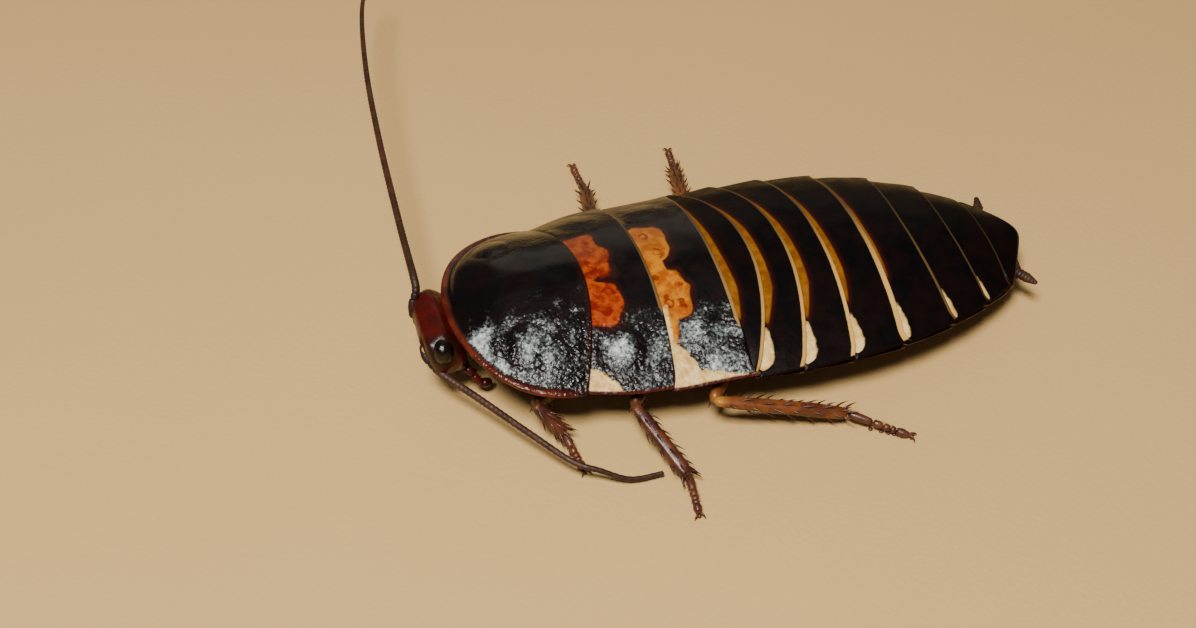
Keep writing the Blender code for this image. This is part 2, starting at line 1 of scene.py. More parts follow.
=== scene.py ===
"""The looks of a life-size wingless banded cockroach standing on a pale floor.

Shapes are worked out in millimetres along the animal: "lateral" is positive on its left,
"station" runs from the head to the tail and "height" is measured from the floor. "across" is the
lateral place as a share of the body's half width.
"""
import math

import bpy
import numpy as np
from mathutils import Matrix, Vector


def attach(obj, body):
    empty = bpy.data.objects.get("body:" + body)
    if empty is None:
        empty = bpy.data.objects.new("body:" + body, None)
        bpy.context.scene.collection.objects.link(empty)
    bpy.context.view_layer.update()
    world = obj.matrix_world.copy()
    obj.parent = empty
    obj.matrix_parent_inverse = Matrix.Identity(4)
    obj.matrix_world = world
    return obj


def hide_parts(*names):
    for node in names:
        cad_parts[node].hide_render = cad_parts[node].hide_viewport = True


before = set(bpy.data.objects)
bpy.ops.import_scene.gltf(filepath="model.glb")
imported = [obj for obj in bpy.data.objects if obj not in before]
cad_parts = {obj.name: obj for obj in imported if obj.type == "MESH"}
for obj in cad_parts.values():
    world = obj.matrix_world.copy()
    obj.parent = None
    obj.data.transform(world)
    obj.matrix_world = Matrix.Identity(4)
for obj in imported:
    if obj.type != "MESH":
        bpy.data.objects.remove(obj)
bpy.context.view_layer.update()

MM = 0.001
ORIGIN = np.array([-12.2, 21.7, 0.0])

# The back: half width, height of the side margin, height of the arch and height of the belly.
BODY_STATIONS = (9.4, 12.2, 15.0, 19.0, 25.0, 32.0, 38.0, 42.0, 45.0)
HALF_WIDTHS = (8.75, 9.6, 9.9, 10.0, 10.3, 9.6, 7.5, 5.0, 2.4)
MARGIN_HEIGHTS = (5.05, 4.97, 4.9, 4.8, 4.7, 4.6, 4.2, 3.5, 2.9)
ARCH_HEIGHTS = (3.3, 3.1, 2.9, 2.8, 2.7, 2.4, 1.9, 1.4, 0.9)
BELLY_HEIGHTS = (3.4, 3.4, 3.4, 3.5, 3.1, 2.1, 1.9, 1.8, 1.8)
CHEST_STATIONS = (2.7, 4.0, 8.0, 14.0, 20.0, 23.0)
CHEST_HALF_WIDTHS = (2.2, 4.9, 6.3, 7.5, 8.2, 9.4)
# Station, length and half width of the plates between the legs.
CHEST_PLATES = ((5.4, 2.6, 2.0), (11.6, 2.4, 2.6), (16.6, 2.4, 2.9))
ARCH_POWER = 2.3
BELLY_POWER = 4.0
PLATE_LIFT = 0.26

# The pronotum, a domed shield with a half-oval front.
SHIELD_HALF_WIDTH = 8.75
SHIELD_SHIFT = 0.15
SHIELD_FRONT = 1.6
SHIELD_WIDEST = 8.65
SHIELD_HIND = 11.1
SHIELD_HIND_SWEEP = 2.0
SHIELD_DOME = 3.3
SHIELD_FRONT_HEIGHT = 6.45
SHIELD_HIND_HEIGHT = 5.0
SHIELD_RIM_POWER = 2.5
SHIELD_FRONT_POWER = 2.15
SHIELD_CENTRE = (0.15, 7.0)
SHIELD_POINTS = 360
UPPER_RINGS = 84
LOWER_RINGS = 26

# Seeds of the uneven relief and of the hairs and spines.
SEEDS = {
    "shield": 5, "head": 21, "thorax": 40, "painted_glints": 61, "spots": 71, "lobes": 75, "belly": 80,
    "legs": 11,
}

# The plates of the back. "hind" is the station of the hind margin on the midline, "sweep" how far
# its sides lie behind it, and "corner" how far its very corners are drawn out beyond that. "strip"
# and "end" are the depth and the side end of the amber strip at the plate's front, "drop" the
# depth of the pale drop near its side, "lip" the width of the pale lip along its hind margin, and
# "tone" how pale that lip is.
PLATE_VALUES = ("hind", "sweep", "corner", "strip", "end", "drop", "lip", "tone")
PLATES = {
    name: dict(zip(PLATE_VALUES, values)) for name, *values in (
        ("mesonotum", 15.7, -0.8, -0.2, 0.0, 0.0, 0.0, 0.12, 0.5),
        ("metanotum", 20.6, -0.4, 0.45, 0.0, 0.0, 0.0, 0.16, 0.7),
        ("abdomen_1", 23.4, -2.6, -0.2, 0.50, 0.62, 0.0, 0.20, 0.8),
        ("abdomen_2", 26.0, -2.0, -0.2, 0.46, 0.68, 0.95, 0.20, 0.9),
        ("abdomen_3", 28.7, -0.95, -0.2, 0.44, 0.68, 0.95, 0.22, 1.0),
        ("abdomen_4", 32.0, -0.4, 0.28, 0.34, 0.62, 0.90, 0.34, 1.0),
        ("abdomen_5", 35.3, 0.5, 0.28, 0.12, 0.50, 0.60, 0.14, 0.35),
        ("abdomen_6", 38.6, 0.5, 0.28, 0.0, 0.0, 0.45, 0.10, 0.25),
        ("abdomen_7", 41.5, 0.1, 0.28, 0.0, 0.0, 0.32, 0.07, 0.15),
        ("tail_plate", 44.6, -2.2, -0.2, 0.0, 0.0, 0.0, 0.10, 0.1),
    )
}

# The bosses of the two thoracic plates, and their spots: lateral place, station and radius.
BOSS_SIDE = 6.9
BOSS_STATIONS = {"mesonotum": 12.6, "metanotum": 17.9}
THORAX_SPOTS = {
    "mesonotum": (
        (-0.4, 12.0, 0.5), (-1.9, 12.3, 0.42), (2.5, 11.6, 0.5), (2.4, 12.5, 0.42),
        (3.9, 11.6, 0.55), (-2.9, 12.0, 0.4), (0.9, 12.6, 0.36),
    ),
    "metanotum": (
        (-0.8, 17.1, 0.5), (-3.0, 16.6, 0.45), (2.6, 17.3, 0.4), (4.0, 16.3, 0.5),
        (4.2, 17.1, 0.4), (1.6, 16.2, 0.4),
    ),
}

# Rows for the function patches: swells of the shield, then painted glints of the near side, pale
# patches standing in for light sparkling on the leather.
SHIELD_SWELLS = ((0.1, 4.3, 3.6, 1.0, 0.9), (-0.1, 4.4, 8.2, 1.0, 0.7))
SHIELD_GLINTS = ((0.95, 3.5, 3.2, 1.0, 0.8), (0.75, 5.7, 6.5, 1.0, 1.5), (0.35, 3.6, 4.7, 1.0, 0.7))
THORAX_GLINTS = {
    "mesonotum": (
        (0.95, 6.9, 11.95, 1.0, 0.9), (0.3, 7.4, 14.0, 0.6, 1.2), (-0.4, 8.3, 12.4, 1.0, 0.6),
    ),
    "metanotum": ((0.5, 6.6, 17.6, 0.8, 1.5), (0.9, 9.2, 18.6, 0.5, 0.8)),
}

PLATE_GAP = 0.3
# The share of its length by which a plate runs on below the one before it.
TUCK = 0.25
PLATE_THICKNESS = 0.26
BELLY_THICKNESS = 0.24
MARGIN_DEPTH = 0.85
# Places across: where a plate thins to its side edge, where its pale drop ends and its lip starts
# to fade, and how far the belly plates and the soft body reach.
THIN_FROM = 0.965
DROP_END = 0.968
LIP_FADES = {"mesonotum": 0.45, "metanotum": 0.62}
BELLY_REACH = 0.97
CORE_REACH = 0.945
# Steps across and along the outer face of a plate.
PLATE_GRID = (241, 72)
BELLY_GRID = (121, 36)
ABDOMEN = [name for name in PLATES if name not in BOSS_STATIONS]

HEAD_CENTRE = (0.0, 0.98, 4.2)
HEAD_RADII = (3.2, 1.15, 2.42)
HEAD_TILT = math.radians(15.5)
HEAD_TAPER = 0.15
HEAD_SQUARENESS = 0.42
HEAD_CORNERS = 0.42
HEAD_BACK = 0.35
SOCKET_SIDE = 1.45
SOCKET_LEVEL = 0.52
EYE_PLACES = {"eye_left": (2.82, 0.7, 5.5), "eye_right": (-2.8, 0.9, 5.15)}
EYE_RADII = (0.84, 0.8, 0.9)

# Feelers: points from the socket to the tip. The left one lies back along the floor.
FEELER_PATHS = {
    "right": (
        (-1.45, -0.5, 5.15), (-1.85, -0.36, 6.05), (-2.3, 0.02, 6.85), (-3.0, 0.05, 7.4),
        (-5.0, 0.1, 7.55), (-9.0, 0.2, 7.9), (-17.0, 0.5, 8.8), (-26.0, 1.2, 9.2),
        (-35.5, 2.6, 8.6), (-42.0, 4.4, 7.4),
    ),
    "left": (
        (1.45, -0.45, 5.15), (2.1, -0.28, 4.4), (3.05, 0.55, 3.55), (5.3, 2.4, 3.0),
        (9.0, 5.1, 2.4), (11.7, 7.3, 1.8), (12.6, 8.9, 1.4), (13.2, 10.9, 0.6),
        (13.2, 13.2, 0.5),
    ),
}

# The first two joints of a feeler: distances from the socket, radii there, rings and sides.
FEELER_JOINTS = (
    ((0, 0.15, 0.8, 1.25, 1.35), (0.16, 0.25, 0.31, 0.29, 0.18), 24, 20),
    ((1.3, 1.4, 1.7, 1.85), (0.17, 0.26, 0.28, 0.18), 14, 18),
)
LASH_START = 1.8
RINGS_PER_MM = 2.2
RING_PROFILE = (0.95, 0.99, 1.02, 1.03, 0.96)

# The coxa of each pair of legs on the left side, from the body down to the hip.
COXAE = {
    "front": ((3.0, 7.6, 3.1), (3.3, 8.4, 2.05), (4.1, 8.9, 1.9)),
    "middle": ((3.1, 12.8, 3.1), (3.4, 14.0, 2.05), (4.2, 15.4, 1.9)),
    "hind": ((3.2, 17.8, 3.1), (3.5, 19.2, 2.05), (4.2, 21.2, 1.9)),
}

# Each leg: knee, ankle and tip of the foot, and the number of spines on the tibia.
LEGS = {
    "front_left": ((7.3, 5.9, 3.3), (8.5, 7.6, 1.2), (11.2, 8.2, 0.3), 12),
    "front_right": ((-7.3, 6.0, 3.3), (-8.4, 7.9, 1.2), (-10.7, 8.9, 0.3), 12),
    "middle_left": ((9.2, 12.3, 3.3), (14.3, 14.6, 0.9), (17.0, 14.4, 0.3), 20),
    "middle_right": ((-9.8, 14.9, 3.3), (-16.9, 16.2, 1.0), (-20.9, 16.3, 0.3), 20),
    "hind_left": ((10.2, 17.6, 3.2), (11.9, 26.8, 1.1), (14.3, 30.4, 0.3), 28),
    "hind_right": ((-10.7, 22.3, 2.8), (-17.3, 23.7, 1.1), (-20.8, 24.3, 0.3), 28),
}


# Shapes

def smooth_value(stations, values, station):
    """A smooth curve through a few values: cubic pieces with the slopes of their neighbours."""
    stations = np.asarray(stations, dtype=float)
    values = np.asarray(values, dtype=float)
    slopes = np.gradient(values, stations)
    station = np.clip(station, stations[0], stations[-1])
    index = np.clip(np.searchsorted(stations, station) - 1, 0, len(stations) - 2)
    span = stations[index + 1] - stations[index]
    part = (station - stations[index]) / span
    start = values[index] * (1 + 2 * part) + slopes[index] * span * part
    end = values[index + 1] * (3 - 2 * part) - slopes[index + 1] * span * (1 - part)
    return start * (1 - part) ** 2 + end * part**2


def half_width(station):
    """The back's half width at a station."""
    return smooth_value(BODY_STATIONS, HALF_WIDTHS, station)


def ramp(value, start, end):
    """0 up to the start and 1 from the end on, with a straight rise between."""
    return np.clip((value - start) / (end - start), 0, 1)


def full_turn(count):
    """Angles spaced evenly round a circle."""
    return np.linspace(0, 2 * math.pi, count, endpoint=False)


def distances(points):
    """How far each point of a line lies from its first one, along the line."""
    return np.concatenate([[0], np.cumsum(np.linalg.norm(np.diff(points, axis=0), axis=1))])


def points_at(wanted, stops, points):
    """Points of a line at the wanted values, where "stops" are the values at its own points."""
    return np.stack([np.interp(wanted, stops, column) for column in points.T], axis=-1)


def smooth_path(points, count):
    """Points spaced along a smooth curve through the given ones."""
    points = np.asarray(points, dtype=float)
    stops = np.arange(len(points), dtype=float)
    dense = np.linspace(0, len(points) - 1, 400)
    curve = np.stack([smooth_value(stops, points[:, axis], dense) for axis in range(3)], axis=-1)
    lengths = distances(curve)
    return points_at(np.linspace(0, lengths[-1], count), lengths, curve)


def ripple(points, size, seed):
    """Smooth uneven relief of about -1 to 1: the sum of waves about "size" long in seeded
    directions, over the root of their number.
    """
    chance = np.random.default_rng(seed)
    waves = 14
    ways = chance.normal(size=(waves, 3))
    ways /= np.linalg.norm(ways, axis=1)[:, None]
    lengths = size * chance.uniform(0.7, 1.5, waves)
    shifts = chance.uniform(0, 2 * math.pi, waves)
    total = np.zeros(points.shape[:-1])
    for way, length, shift in zip(ways, lengths, shifts):
        total += np.sin(points @ way * (2 * math.pi / length) + shift)
    return total / math.sqrt(waves)


def on_plan(lateral, station):
    """Points at no height, for relief that is the same at every height."""
    return np.stack([lateral, station, np.zeros_like(lateral)], axis=-1)


def leather_relief(points, seed):
    """Small rounded cushions between creases: the creases run where a sum of waves is nought."""
    coarse = 0.5 - np.sqrt(np.abs(ripple(points, 1.15, seed)) + 0.01)
    fine = 0.5 - np.sqrt(np.abs(ripple(points, 0.6, seed + 100)) + 0.02)
    return -0.04 * coarse - 0.02 * fine


def hill(distance, radius):
    """1 at the middle of a round hill, falling smoothly to almost nothing at two radii."""
    return np.exp(-((distance / radius) ** 2))


def closed_surface(rings, **fields):
    """Rings of points joined to their neighbours by quads, with a fan to the middle at each end.

    A field holds one value a point. Faces are turned outwards by the sign of the volume: the sum
    over the faces of the box product of three corners.
    """
    count, sides = rings.shape[:2]
    points = np.concatenate([rings.reshape(-1, 3), [rings[0].mean(axis=0), rings[-1].mean(axis=0)]])
    index = np.arange(count * sides).reshape(count, sides)
    after = np.roll(index, -1, axis=1)
    quads = np.stack([index[:-1], after[:-1], after[1:], index[1:]], axis=-1).reshape(-1, 4)
    start = np.stack([np.full(sides, count * sides), after[0], index[0]], axis=-1)
    end = np.stack([np.full(sides, count * sides + 1), index[-1], after[-1]], axis=-1)
    triangles = np.concatenate([start, end])
    centred = points - points.mean(axis=0)
    corners = centred[quads]
    halves = np.concatenate([corners[:, [0, 1, 2]], corners[:, [0, 2, 3]], centred[triangles]])
    volume = np.einsum("ij,ij->", halves[:, 0], np.cross(halves[:, 1], halves[:, 2]))
    if volume < 0:
        quads = quads[:, ::-1]
        triangles = triangles[:, ::-1]
    values = {}
    for label, field in fields.items():
        field = np.broadcast_to(field, (count, sides))
        values[label] = np.concatenate([field.ravel(), [field[0].mean(), field[-1].mean()]])
    return points, quads, triangles, values


def add_object(name, data):
    """A new object in the scene."""
    item = bpy.data.objects.new(name, data)
    bpy.context.scene.collection.objects.link(item)
    return item


def make_piece(name, surfaces, material, nodes):
    """One object of closed surfaces, in the frame's metres, that stands for some CAD nodes."""
    labels = sorted({label for surface in surfaces for label in surface[3]})
    offsets = np.cumsum([0] + [len(surface[0]) for surface in surfaces])
    points = np.concatenate([surface[0] for surface in surfaces])
    quads = np.concatenate([surface[1] + offset for surface, offset in zip(surfaces, offsets)])
    triangles = np.concatenate([surface[2] + offset for surface, offset in zip(surfaces, offsets)])
    mesh = bpy.data.meshes.new(name)
    mesh.vertices.add(len(points))
    mesh.vertices.foreach_set("co", ((points - ORIGIN) * MM).ravel())
    corners = np.concatenate([quads.ravel(), triangles.ravel()])
    mesh.loops.add(len(corners))
    mesh.loops.foreach_set("vertex_index", corners.astype(np.int32))
    starts = np.concatenate([
        np.arange(len(quads)) * 4, len(quads) * 4 + np.arange(len(triangles)) * 3,
    ])
    mesh.polygons.add(len(starts))
    mesh.polygons.foreach_set("loop_start", starts.astype(np.int32))
    for label in labels:
        parts = [surface[3].get(label, np.zeros(len(surface[0]))) for surface in surfaces]
        attribute = mesh.attributes.new(label, "FLOAT", "POINT")
        attribute.data.foreach_set("value", np.concatenate(parts).astype(np.float32))
    mesh.update(calc_edges=True)
    mesh.shade_smooth()
    mesh.materials.append(material)
    piece = add_object(name, mesh)
    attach(piece, "root")
    if nodes:
        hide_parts(*nodes)


def carried_ring(path, wide, high, sides, reference):
    """An oval carried along a path: it stands square to the path, "wide" to the side and "high"
    towards the reference direction, both of them half sizes at each point of the path.
    """
    tangent = np.gradient(path, axis=0)
    tangent /= np.linalg.norm(tangent, axis=1)[:, None]
    side = np.cross(tangent, reference)
    side /= np.linalg.norm(side, axis=1)[:, None]
    above = np.cross(side, tangent)
    turn = full_turn(sides)
    reach_side = wide[:, None, None] * np.cos(turn)[None, :, None] * side[:, None, :]
    reach_above = high[:, None, None] * np.sin(turn)[None, :, None] * above[:, None, :]
    return path[:, None, :] + reach_side + reach_above


def tube(path, wide, high, sides, reference, **fields):
    """A closed tube of ovals carried along a path."""
    return closed_surface(carried_ring(path, wide, high, sides, reference), **fields)


def rounded_ends(count, share):
    """1 along a limb and falling to a small tip in a quarter circle over a share of each end."""
    along = np.linspace(0, 1, count)
    near = ramp(np.minimum(along, 1 - along), 0, share)
    return np.sqrt(np.clip(1 - (1 - near) ** 2, 0.02, 1))


def spike(root, tip, radius, bend, sides=6, steps=6):
    """A curved cone: its axis is the straight line plus a bend that is greatest in the middle,
    and its radius falls with the power 0.8 of what is left of its length.
    """
    part = np.linspace(0, 1, steps)
    path = root + (tip - root) * part[:, None] + np.outer(4 * part * (1 - part), bend)
    radii = radius * np.maximum((1 - part) ** 0.8, 0.06)
    axis = tip - root
    reference = (0, 0, 1) if abs(axis[2]) < 0.8 * np.linalg.norm(axis) else (1, 0, 0)
    return tube(path, radii, radii, sides, reference, point=part[:, None])


# The plates of the back

def back_height(across, station, along):
    """Upper face of a plate: the margin, plus an arch that falls with a power of the place
    across, plus a lift towards the hind margin.
    """
    arch = smooth_value(BODY_STATIONS, ARCH_HEIGHTS, station)
    margin = smooth_value(BODY_STATIONS, MARGIN_HEIGHTS, station)
    return margin + arch * (1 - np.abs(across) ** ARCH_POWER) + PLATE_LIFT * (along - 1)


def belly_height(across, station, along):
    """Lower face of the abdomen, flat in the middle and curling up to the margin."""
    margin = smooth_value(BODY_STATIONS, MARGIN_HEIGHTS, station) - MARGIN_DEPTH
    depth = np.maximum(margin - smooth_value(BODY_STATIONS, BELLY_HEIGHTS, station), 0.1)
    return margin - depth * (1 - np.abs(across) ** BELLY_POWER) - 0.18 * (along - 1)


def plate_rings(name, outer, thickness, columns, rows, relief, widest=1.0):
    """A thin plate as one closed ring at each place across: along the outer face to the hind lip,
    round the lip in a half circle, back along the inner face and round the front.

    The thickness falls in a quarter circle at the side edges. Returns the rings, their places
    across, their share of the way along, the plate's length there and their depth inside it.
    """
    across = np.sin(np.linspace(-math.pi / 2, math.pi / 2, columns)) * widest
    begin = -TUCK
    turn = np.linspace(0, math.pi, 7)[1:-1]
    down = 1 - (1 - np.linspace(0, 1, rows)) ** 1.4
    outward = begin + (1 - begin) * down
    inward = begin + (1 - begin) * np.linspace(1, 0, rows // 3)
    along = np.concatenate([outward, 1 + 0.03 * np.sin(turn), inward, begin - 0.03 * np.sin(turn)])
    depth = np.concatenate([
        np.zeros(rows), (1 - np.cos(turn)) / 2, np.ones(rows // 3), (1 + np.cos(turn)) / 2,
    ])
    edge = ramp(np.abs(across) / widest, THIN_FROM, 1)
    body = np.sqrt(np.clip(1 - edge**2, 0.02, 1))[:, None]
    across = np.repeat(across[:, None], len(along), axis=1)
    along = np.repeat(along[None, :], len(across), axis=0)
    start = front_margin(name)(across)
    length = hind_margin(name)(across) - start
    station = start + length * along
    lateral = across * half_width(station) * (1 + 0.4 * np.minimum(along, 0))
    fall = thickness * (depth[None, :] * body + (1 - body) * 0.5)
    height = outer(across, station, along) - fall
    height = height + relief(lateral, station) * (1 - depth[None, :]) * body
    rings = np.stack([lateral, station, height], axis=-1)
    return rings, across, along, length, np.broadcast_to(depth[None, :], across.shape)


def shield_hind(across):
    """Station of the pronotum's hind margin."""
    return SHIELD_HIND - SHIELD_HIND_SWEEP * across**2


def hind_margin(name):
    """The curve of a plate's hind margin: a parabola with its corners rounded or drawn out."""
    plate = PLATES[name]

    def curve(across):
        end = ramp(np.abs(across), 0.9, 1) ** 2
        return plate["hind"] + plate["sweep"] * across**2 + plate["corner"] * end

    return curve


def front_margin(name):
    """The curve where a plate comes out from under the one before it."""
    names = list(PLATES)
    place = names.index(name)
    before = shield_hind if place == 0 else hind_margin(names[place - 1])
    return lambda across: before(across) + PLATE_GAP


def blot(lateral, station, centre, radii, power=2.0):
    """Distance inside a rounded blot in millimetres: positive within it, by its shorter radius
    times one less the power sum of the two offsets.
    """
    offset = np.abs((lateral - centre[0]) / radii[0]) ** power
    offset = offset + np.abs((station - centre[1]) / radii[1]) ** power
    return min(radii) * (1 - offset ** (1 / power))


def thorax_markings(name, lateral, station, across, from_front):
    """The fields of the two plates behind the pronotum: amber lobes, darker spots, pale corners and
    painted glints, pale specks standing in for light sparkling on the leather.
    """
    reach = np.where(lateral > 0, lateral, -lateral - 0.7)
    points = on_plan(lateral, station)
    warmth = 1.0 if name == "mesonotum" else 0.0
    if name == "mesonotum":
        near = blot(lateral - 0.15 * (station - 11.6), station, (3.15, 11.55), (1.95, 1.65), 2.8)
        far = blot(lateral, station, (-1.3, 11.9), (2.7, 1.45), 2.8)
        amber = np.maximum(near, far) + 0.16 * ripple(points, 1.5, SEEDS["lobes"])
        cream = blot(reach, station, (9.9, 9.6), (2.4, 2.2), 1.4)
    else:
        near = blot(lateral, station, (3.1, 16.2), (2.4, 1.8), 2.5)
        far = blot(lateral, station, (-1.85, 16.4), (2.3, 1.65), 2.5)
        taper = 0.75 * ramp(np.abs(across), 0.76, 0.4) + 0.3 - from_front
        lobes = np.maximum(near, far) + 0.14 * ripple(points, 1.5, SEEDS["lobes"] + 1)
        amber = np.maximum(lobes, np.where(across > 0, taper, -1.0))
        corner = blot(reach, station, (10.0, 15.2), (3.6, 2.1), 1.35)
        side = 1.3 * ramp(station, 20.2, 15.7) - (10.0 - reach)
        line = np.minimum(0.16 - from_front, (reach - 4.6) * 0.4)
        cream = np.maximum(np.maximum(corner, side), line)
    spot = np.full_like(amber, -1.0)
    seed = SEEDS["spots"]
    uneven = 0.16 * ripple(points, 0.9, seed) + 0.1 * ripple(points, 0.5, seed + 1)
    thick = 0.12 + 0.08 * ripple(points, 1.1, seed + 2)
    for place, middle, radius in THORAX_SPOTS[name]:
        distance = np.hypot(lateral - place, 1.2 * (station - middle)) + uneven
        spot = np.maximum(spot, thick - np.abs(distance - radius * 0.62))
    grain = ramp(np.abs(across), 0.3, 0.6) * np.where(across > 0, 1.0, 0.15)
    return {
        "amber": amber, "spot": spot, "cream": cream, "warmth": warmth, "grain": grain,
        "ragged": 0.42, "glint": thorax_glint(name, lateral, station),
    }


def patches(table, lateral, station):
    """A sum of hills: each row holds a strength, a lateral place, a station, how far the hill is
    squeezed along the body, and its radius.
    """
    total = 0.0
    for strength, place, middle, squeeze, radius in table:
        distance = np.hypot(lateral - place, squeeze * (station - middle))
        total = total + strength * hill(distance, radius)
    return total


def thorax_glint(name, lateral, station):
    """How thickly painted glints, pale specks standing in for light, cover the two thoracic plates:
    most on and round each boss.
    """
    points = on_plan(lateral, station)
    spread = ramp(lateral, 3.9, 5.5) + 0.25 * ramp(lateral, -4.5, -6.5)
    bright = patches(THORAX_GLINTS[name], lateral, station)
    if name == "mesonotum":
        bright -= 0.4 * hill(np.hypot(lateral - BOSS_SIDE, station - 11.95) - 1.55, 0.3)
    uneven = 0.3 * ripple(points, 1.3, SEEDS["painted_glints"])
    return np.clip(spread * (0.14 + bright + uneven), 0, 1.2)


def band_markings(plate, across, from_front):
    """The fields of an abdominal plate: the amber strip and the pale drops near the sides, both
    at its front.
    """
    end = plate["end"]
    left = np.minimum(ramp(across, end, end - 0.26), ramp(across, -0.7, -0.2))
    width = plate["strip"] * (0.35 + 0.65 * ramp(across, -0.6, 0.35))
    beyond = np.clip(across - end, 0, 1) + np.clip(-0.7 - across, 0, 1)
    amber = width * left**0.8 - np.maximum(from_front, 0.0) - 0.03 - 5 * beyond
    amber = np.where(plate["strip"] > 0, amber, -1.0)
    if plate["drop"]:
        tip = np.where(across > 0, 0.70, 0.88)
        part = ramp(np.abs(across), tip, DROP_END)
        width = plate["drop"] * part**0.95 * np.sqrt(1 - part**5)
        cream = np.where(part > 0, width - np.maximum(from_front, 0.0) - 0.08, -1.0)
    else:
        cream = np.full_like(across, -1.0)
    return {
        "amber": amber, "spot": -1.0, "cream": cream, "warmth": 0.0, "grain": 0.12,
        "ragged": 0.16, "glint": 0.0,
    }


def lip_marking(name, across, along, length):
    """Distance inside the pale lip along a plate's hind margin. It narrows to the far side, and
    on the thoracic plates it fades towards the near corner.
    """
    fade_from = LIP_FADES.get(name, 2.0)
    shown = 1 - 0.9 * ramp(across, fade_from, fade_from + 0.2)
    wide = PLATES[name]["lip"] * shown * (0.62 + 0.38 * ramp(across, -0.4, 0.4))
    return wide - np.maximum(1 - along, 0) * length - 0.4 * (1 - shown)


def thorax_relief(middle_station, seed):
    """Uneven relief of a thoracic plate, with a boss near each side and wrinkles round it."""
    def relief(lateral, station):
        points = on_plan(lateral, station)
        side = np.abs(lateral)
        from_boss = np.hypot(side - BOSS_SIDE, station - middle_station)
        boss = hill(from_boss, 0.95)
        dip = hill(from_boss - 1.7, 0.5)
        rough = ramp(side, 3.5, 6.0) * np.where(lateral > 0, 1.0, 0.3)
        leather = leather_relief(points, seed) * rough
        boss = boss * np.where(lateral > 0, 0.24, 0.06)
        return boss - 0.12 * dip * rough + leather + 0.02 * ripple(points, 3.0, seed + 1)
    return relief


def faint_relief(size, seed):
    """Faint waves over a smooth plate."""
    return lambda lateral, station: 0.02 * ripple(on_plan(lateral, station), size, seed)


def make_plates(thorax_finish, abdomen_finish):
    """Every plate behind the pronotum, each tucked under the one before it."""
    for seed, (name, plate) in enumerate(PLATES.items()):
        thorax = name not in ABDOMEN
        relief = faint_relief(2.4, seed)
        if thorax:
            relief = thorax_relief(BOSS_STATIONS[name], seed + SEEDS["thorax"])
        rings, across, along, length, depth = plate_rings(
            name, back_height, PLATE_THICKNESS, *PLATE_GRID, relief
        )
        from_front = along * length
        if thorax:
            fields = thorax_markings(name, rings[..., 0], rings[..., 1], across, from_front)
        else:
            fields = band_markings(plate, across, from_front)
        fields["lip"] = lip_marking(name, across, along, length)
        for label in ("amber", "cream", "lip"):
            fields[label] = np.where(depth > 0.97, -1.0, fields[label])
        surface = closed_surface(rings, margin=across, inner=depth, tone=plate["tone"], **fields)
        finish = thorax_finish if thorax else abdomen_finish
        make_piece("shell_" + name, [surface], finish, [name])


# The pronotum

def shield_outline(count):
    """Points round the shield: the half-oval front, then the swept hind margin, evenly spaced
    and softened at the corners by a running mean.
    """
    across = np.sin(np.linspace(-math.pi / 2, math.pi / 2, 400))
    bulge = np.clip(1 - across**2, 0, 1) ** (1 / SHIELD_FRONT_POWER)
    front = np.stack([across, SHIELD_WIDEST - (SHIELD_WIDEST - SHIELD_FRONT) * bulge], axis=-1)
    hind = np.stack([across, shield_hind(across)], axis=-1)[::-1]
    loop = np.concatenate([front, hind, front[:1]])
    loop[:, 0] = loop[:, 0] * SHIELD_HALF_WIDTH + SHIELD_SHIFT
    lengths = distances(loop)
    points = points_at(np.linspace(0, lengths[-1], count, endpoint=False), lengths, loop)
    for _ in range(6):
        points = (np.roll(points, 1, axis=0) + points + np.roll(points, -1, axis=0)) / 3
    return points


def shield_height(lateral, station):
    """The shield's rim height, which rises towards the front, and its dome above that."""
    left = ramp(station, SHIELD_HIND, SHIELD_FRONT)
    rise = SHIELD_FRONT_HEIGHT - SHIELD_HIND_HEIGHT
    rim = SHIELD_HIND_HEIGHT + rise * left**SHIELD_RIM_POWER
    forward = ramp(station, SHIELD_WIDEST, SHIELD_FRONT)
    across = (lateral - SHIELD_SHIFT) / SHIELD_HALF_WIDTH
    reach = across**2 + forward**SHIELD_FRONT_POWER
    return rim, SHIELD_DOME * np.clip(1 - reach, 0, 1) ** 0.95


def shield_boss(lateral, station):
    """Distance from the middle of the nearer of the shield's two bosses."""
    side = np.abs(lateral - SHIELD_SHIFT)
    return np.hypot((side - 5.1) / 1.1, station - 5.9)


def shield_relief(lateral, station, rough):
    """The shield's bosses, swells and leather, strong on the near side and faint on the other."""
    points = on_plan(lateral, station)
    boss = shield_boss(lateral, station)
    relief = 0.13 * hill(boss, 0.8) - 0.15 * hill(boss - 1.35, 0.36)
    relief += patches(SHIELD_SWELLS, np.abs(lateral - SHIELD_SHIFT), station)
    relief *= np.where(lateral > 0, 1.0, 0.35)
    seed = SEEDS["shield"]
    relief += (leather_relief(points, seed) + 0.04 * ripple(points, 1.9, seed + 1)) * rough
    return relief + 0.012 * ripple(points, 2.2, seed + 2)


def shield_glint(lateral, station, from_edge):
    """How thickly painted glints, pale specks standing in for light sparkling on the leather, cover
    the shield: most in a few patches and along the near edge, and few in a ring round the boss.
    """
    along_edge = ramp(lateral, 3.0, 4.0) * np.maximum(ramp(lateral, 7.4, 5.8), 0.3)
    along_edge *= ramp(station, 9.0, 7.0)
    bright = patches(SHIELD_GLINTS, lateral, station)
    bright += along_edge * hill(from_edge - 0.65, 0.36)
    boss = shield_boss(lateral, station)
    bright -= 0.8 * hill(boss - 1.25, 0.3) * ramp(station, 7.0, 5.0)
    uneven = 0.3 * ripple(on_plan(lateral, station), 1.2, SEEDS["shield"] + 3)
    near = ramp(lateral, 1.2, 3.8) * ramp(from_edge, 0.18, 0.48)
    return np.clip(near * (0.08 + bright + uneven), 0, 1.25) + 0.12 * ramp(lateral, -3, -6)


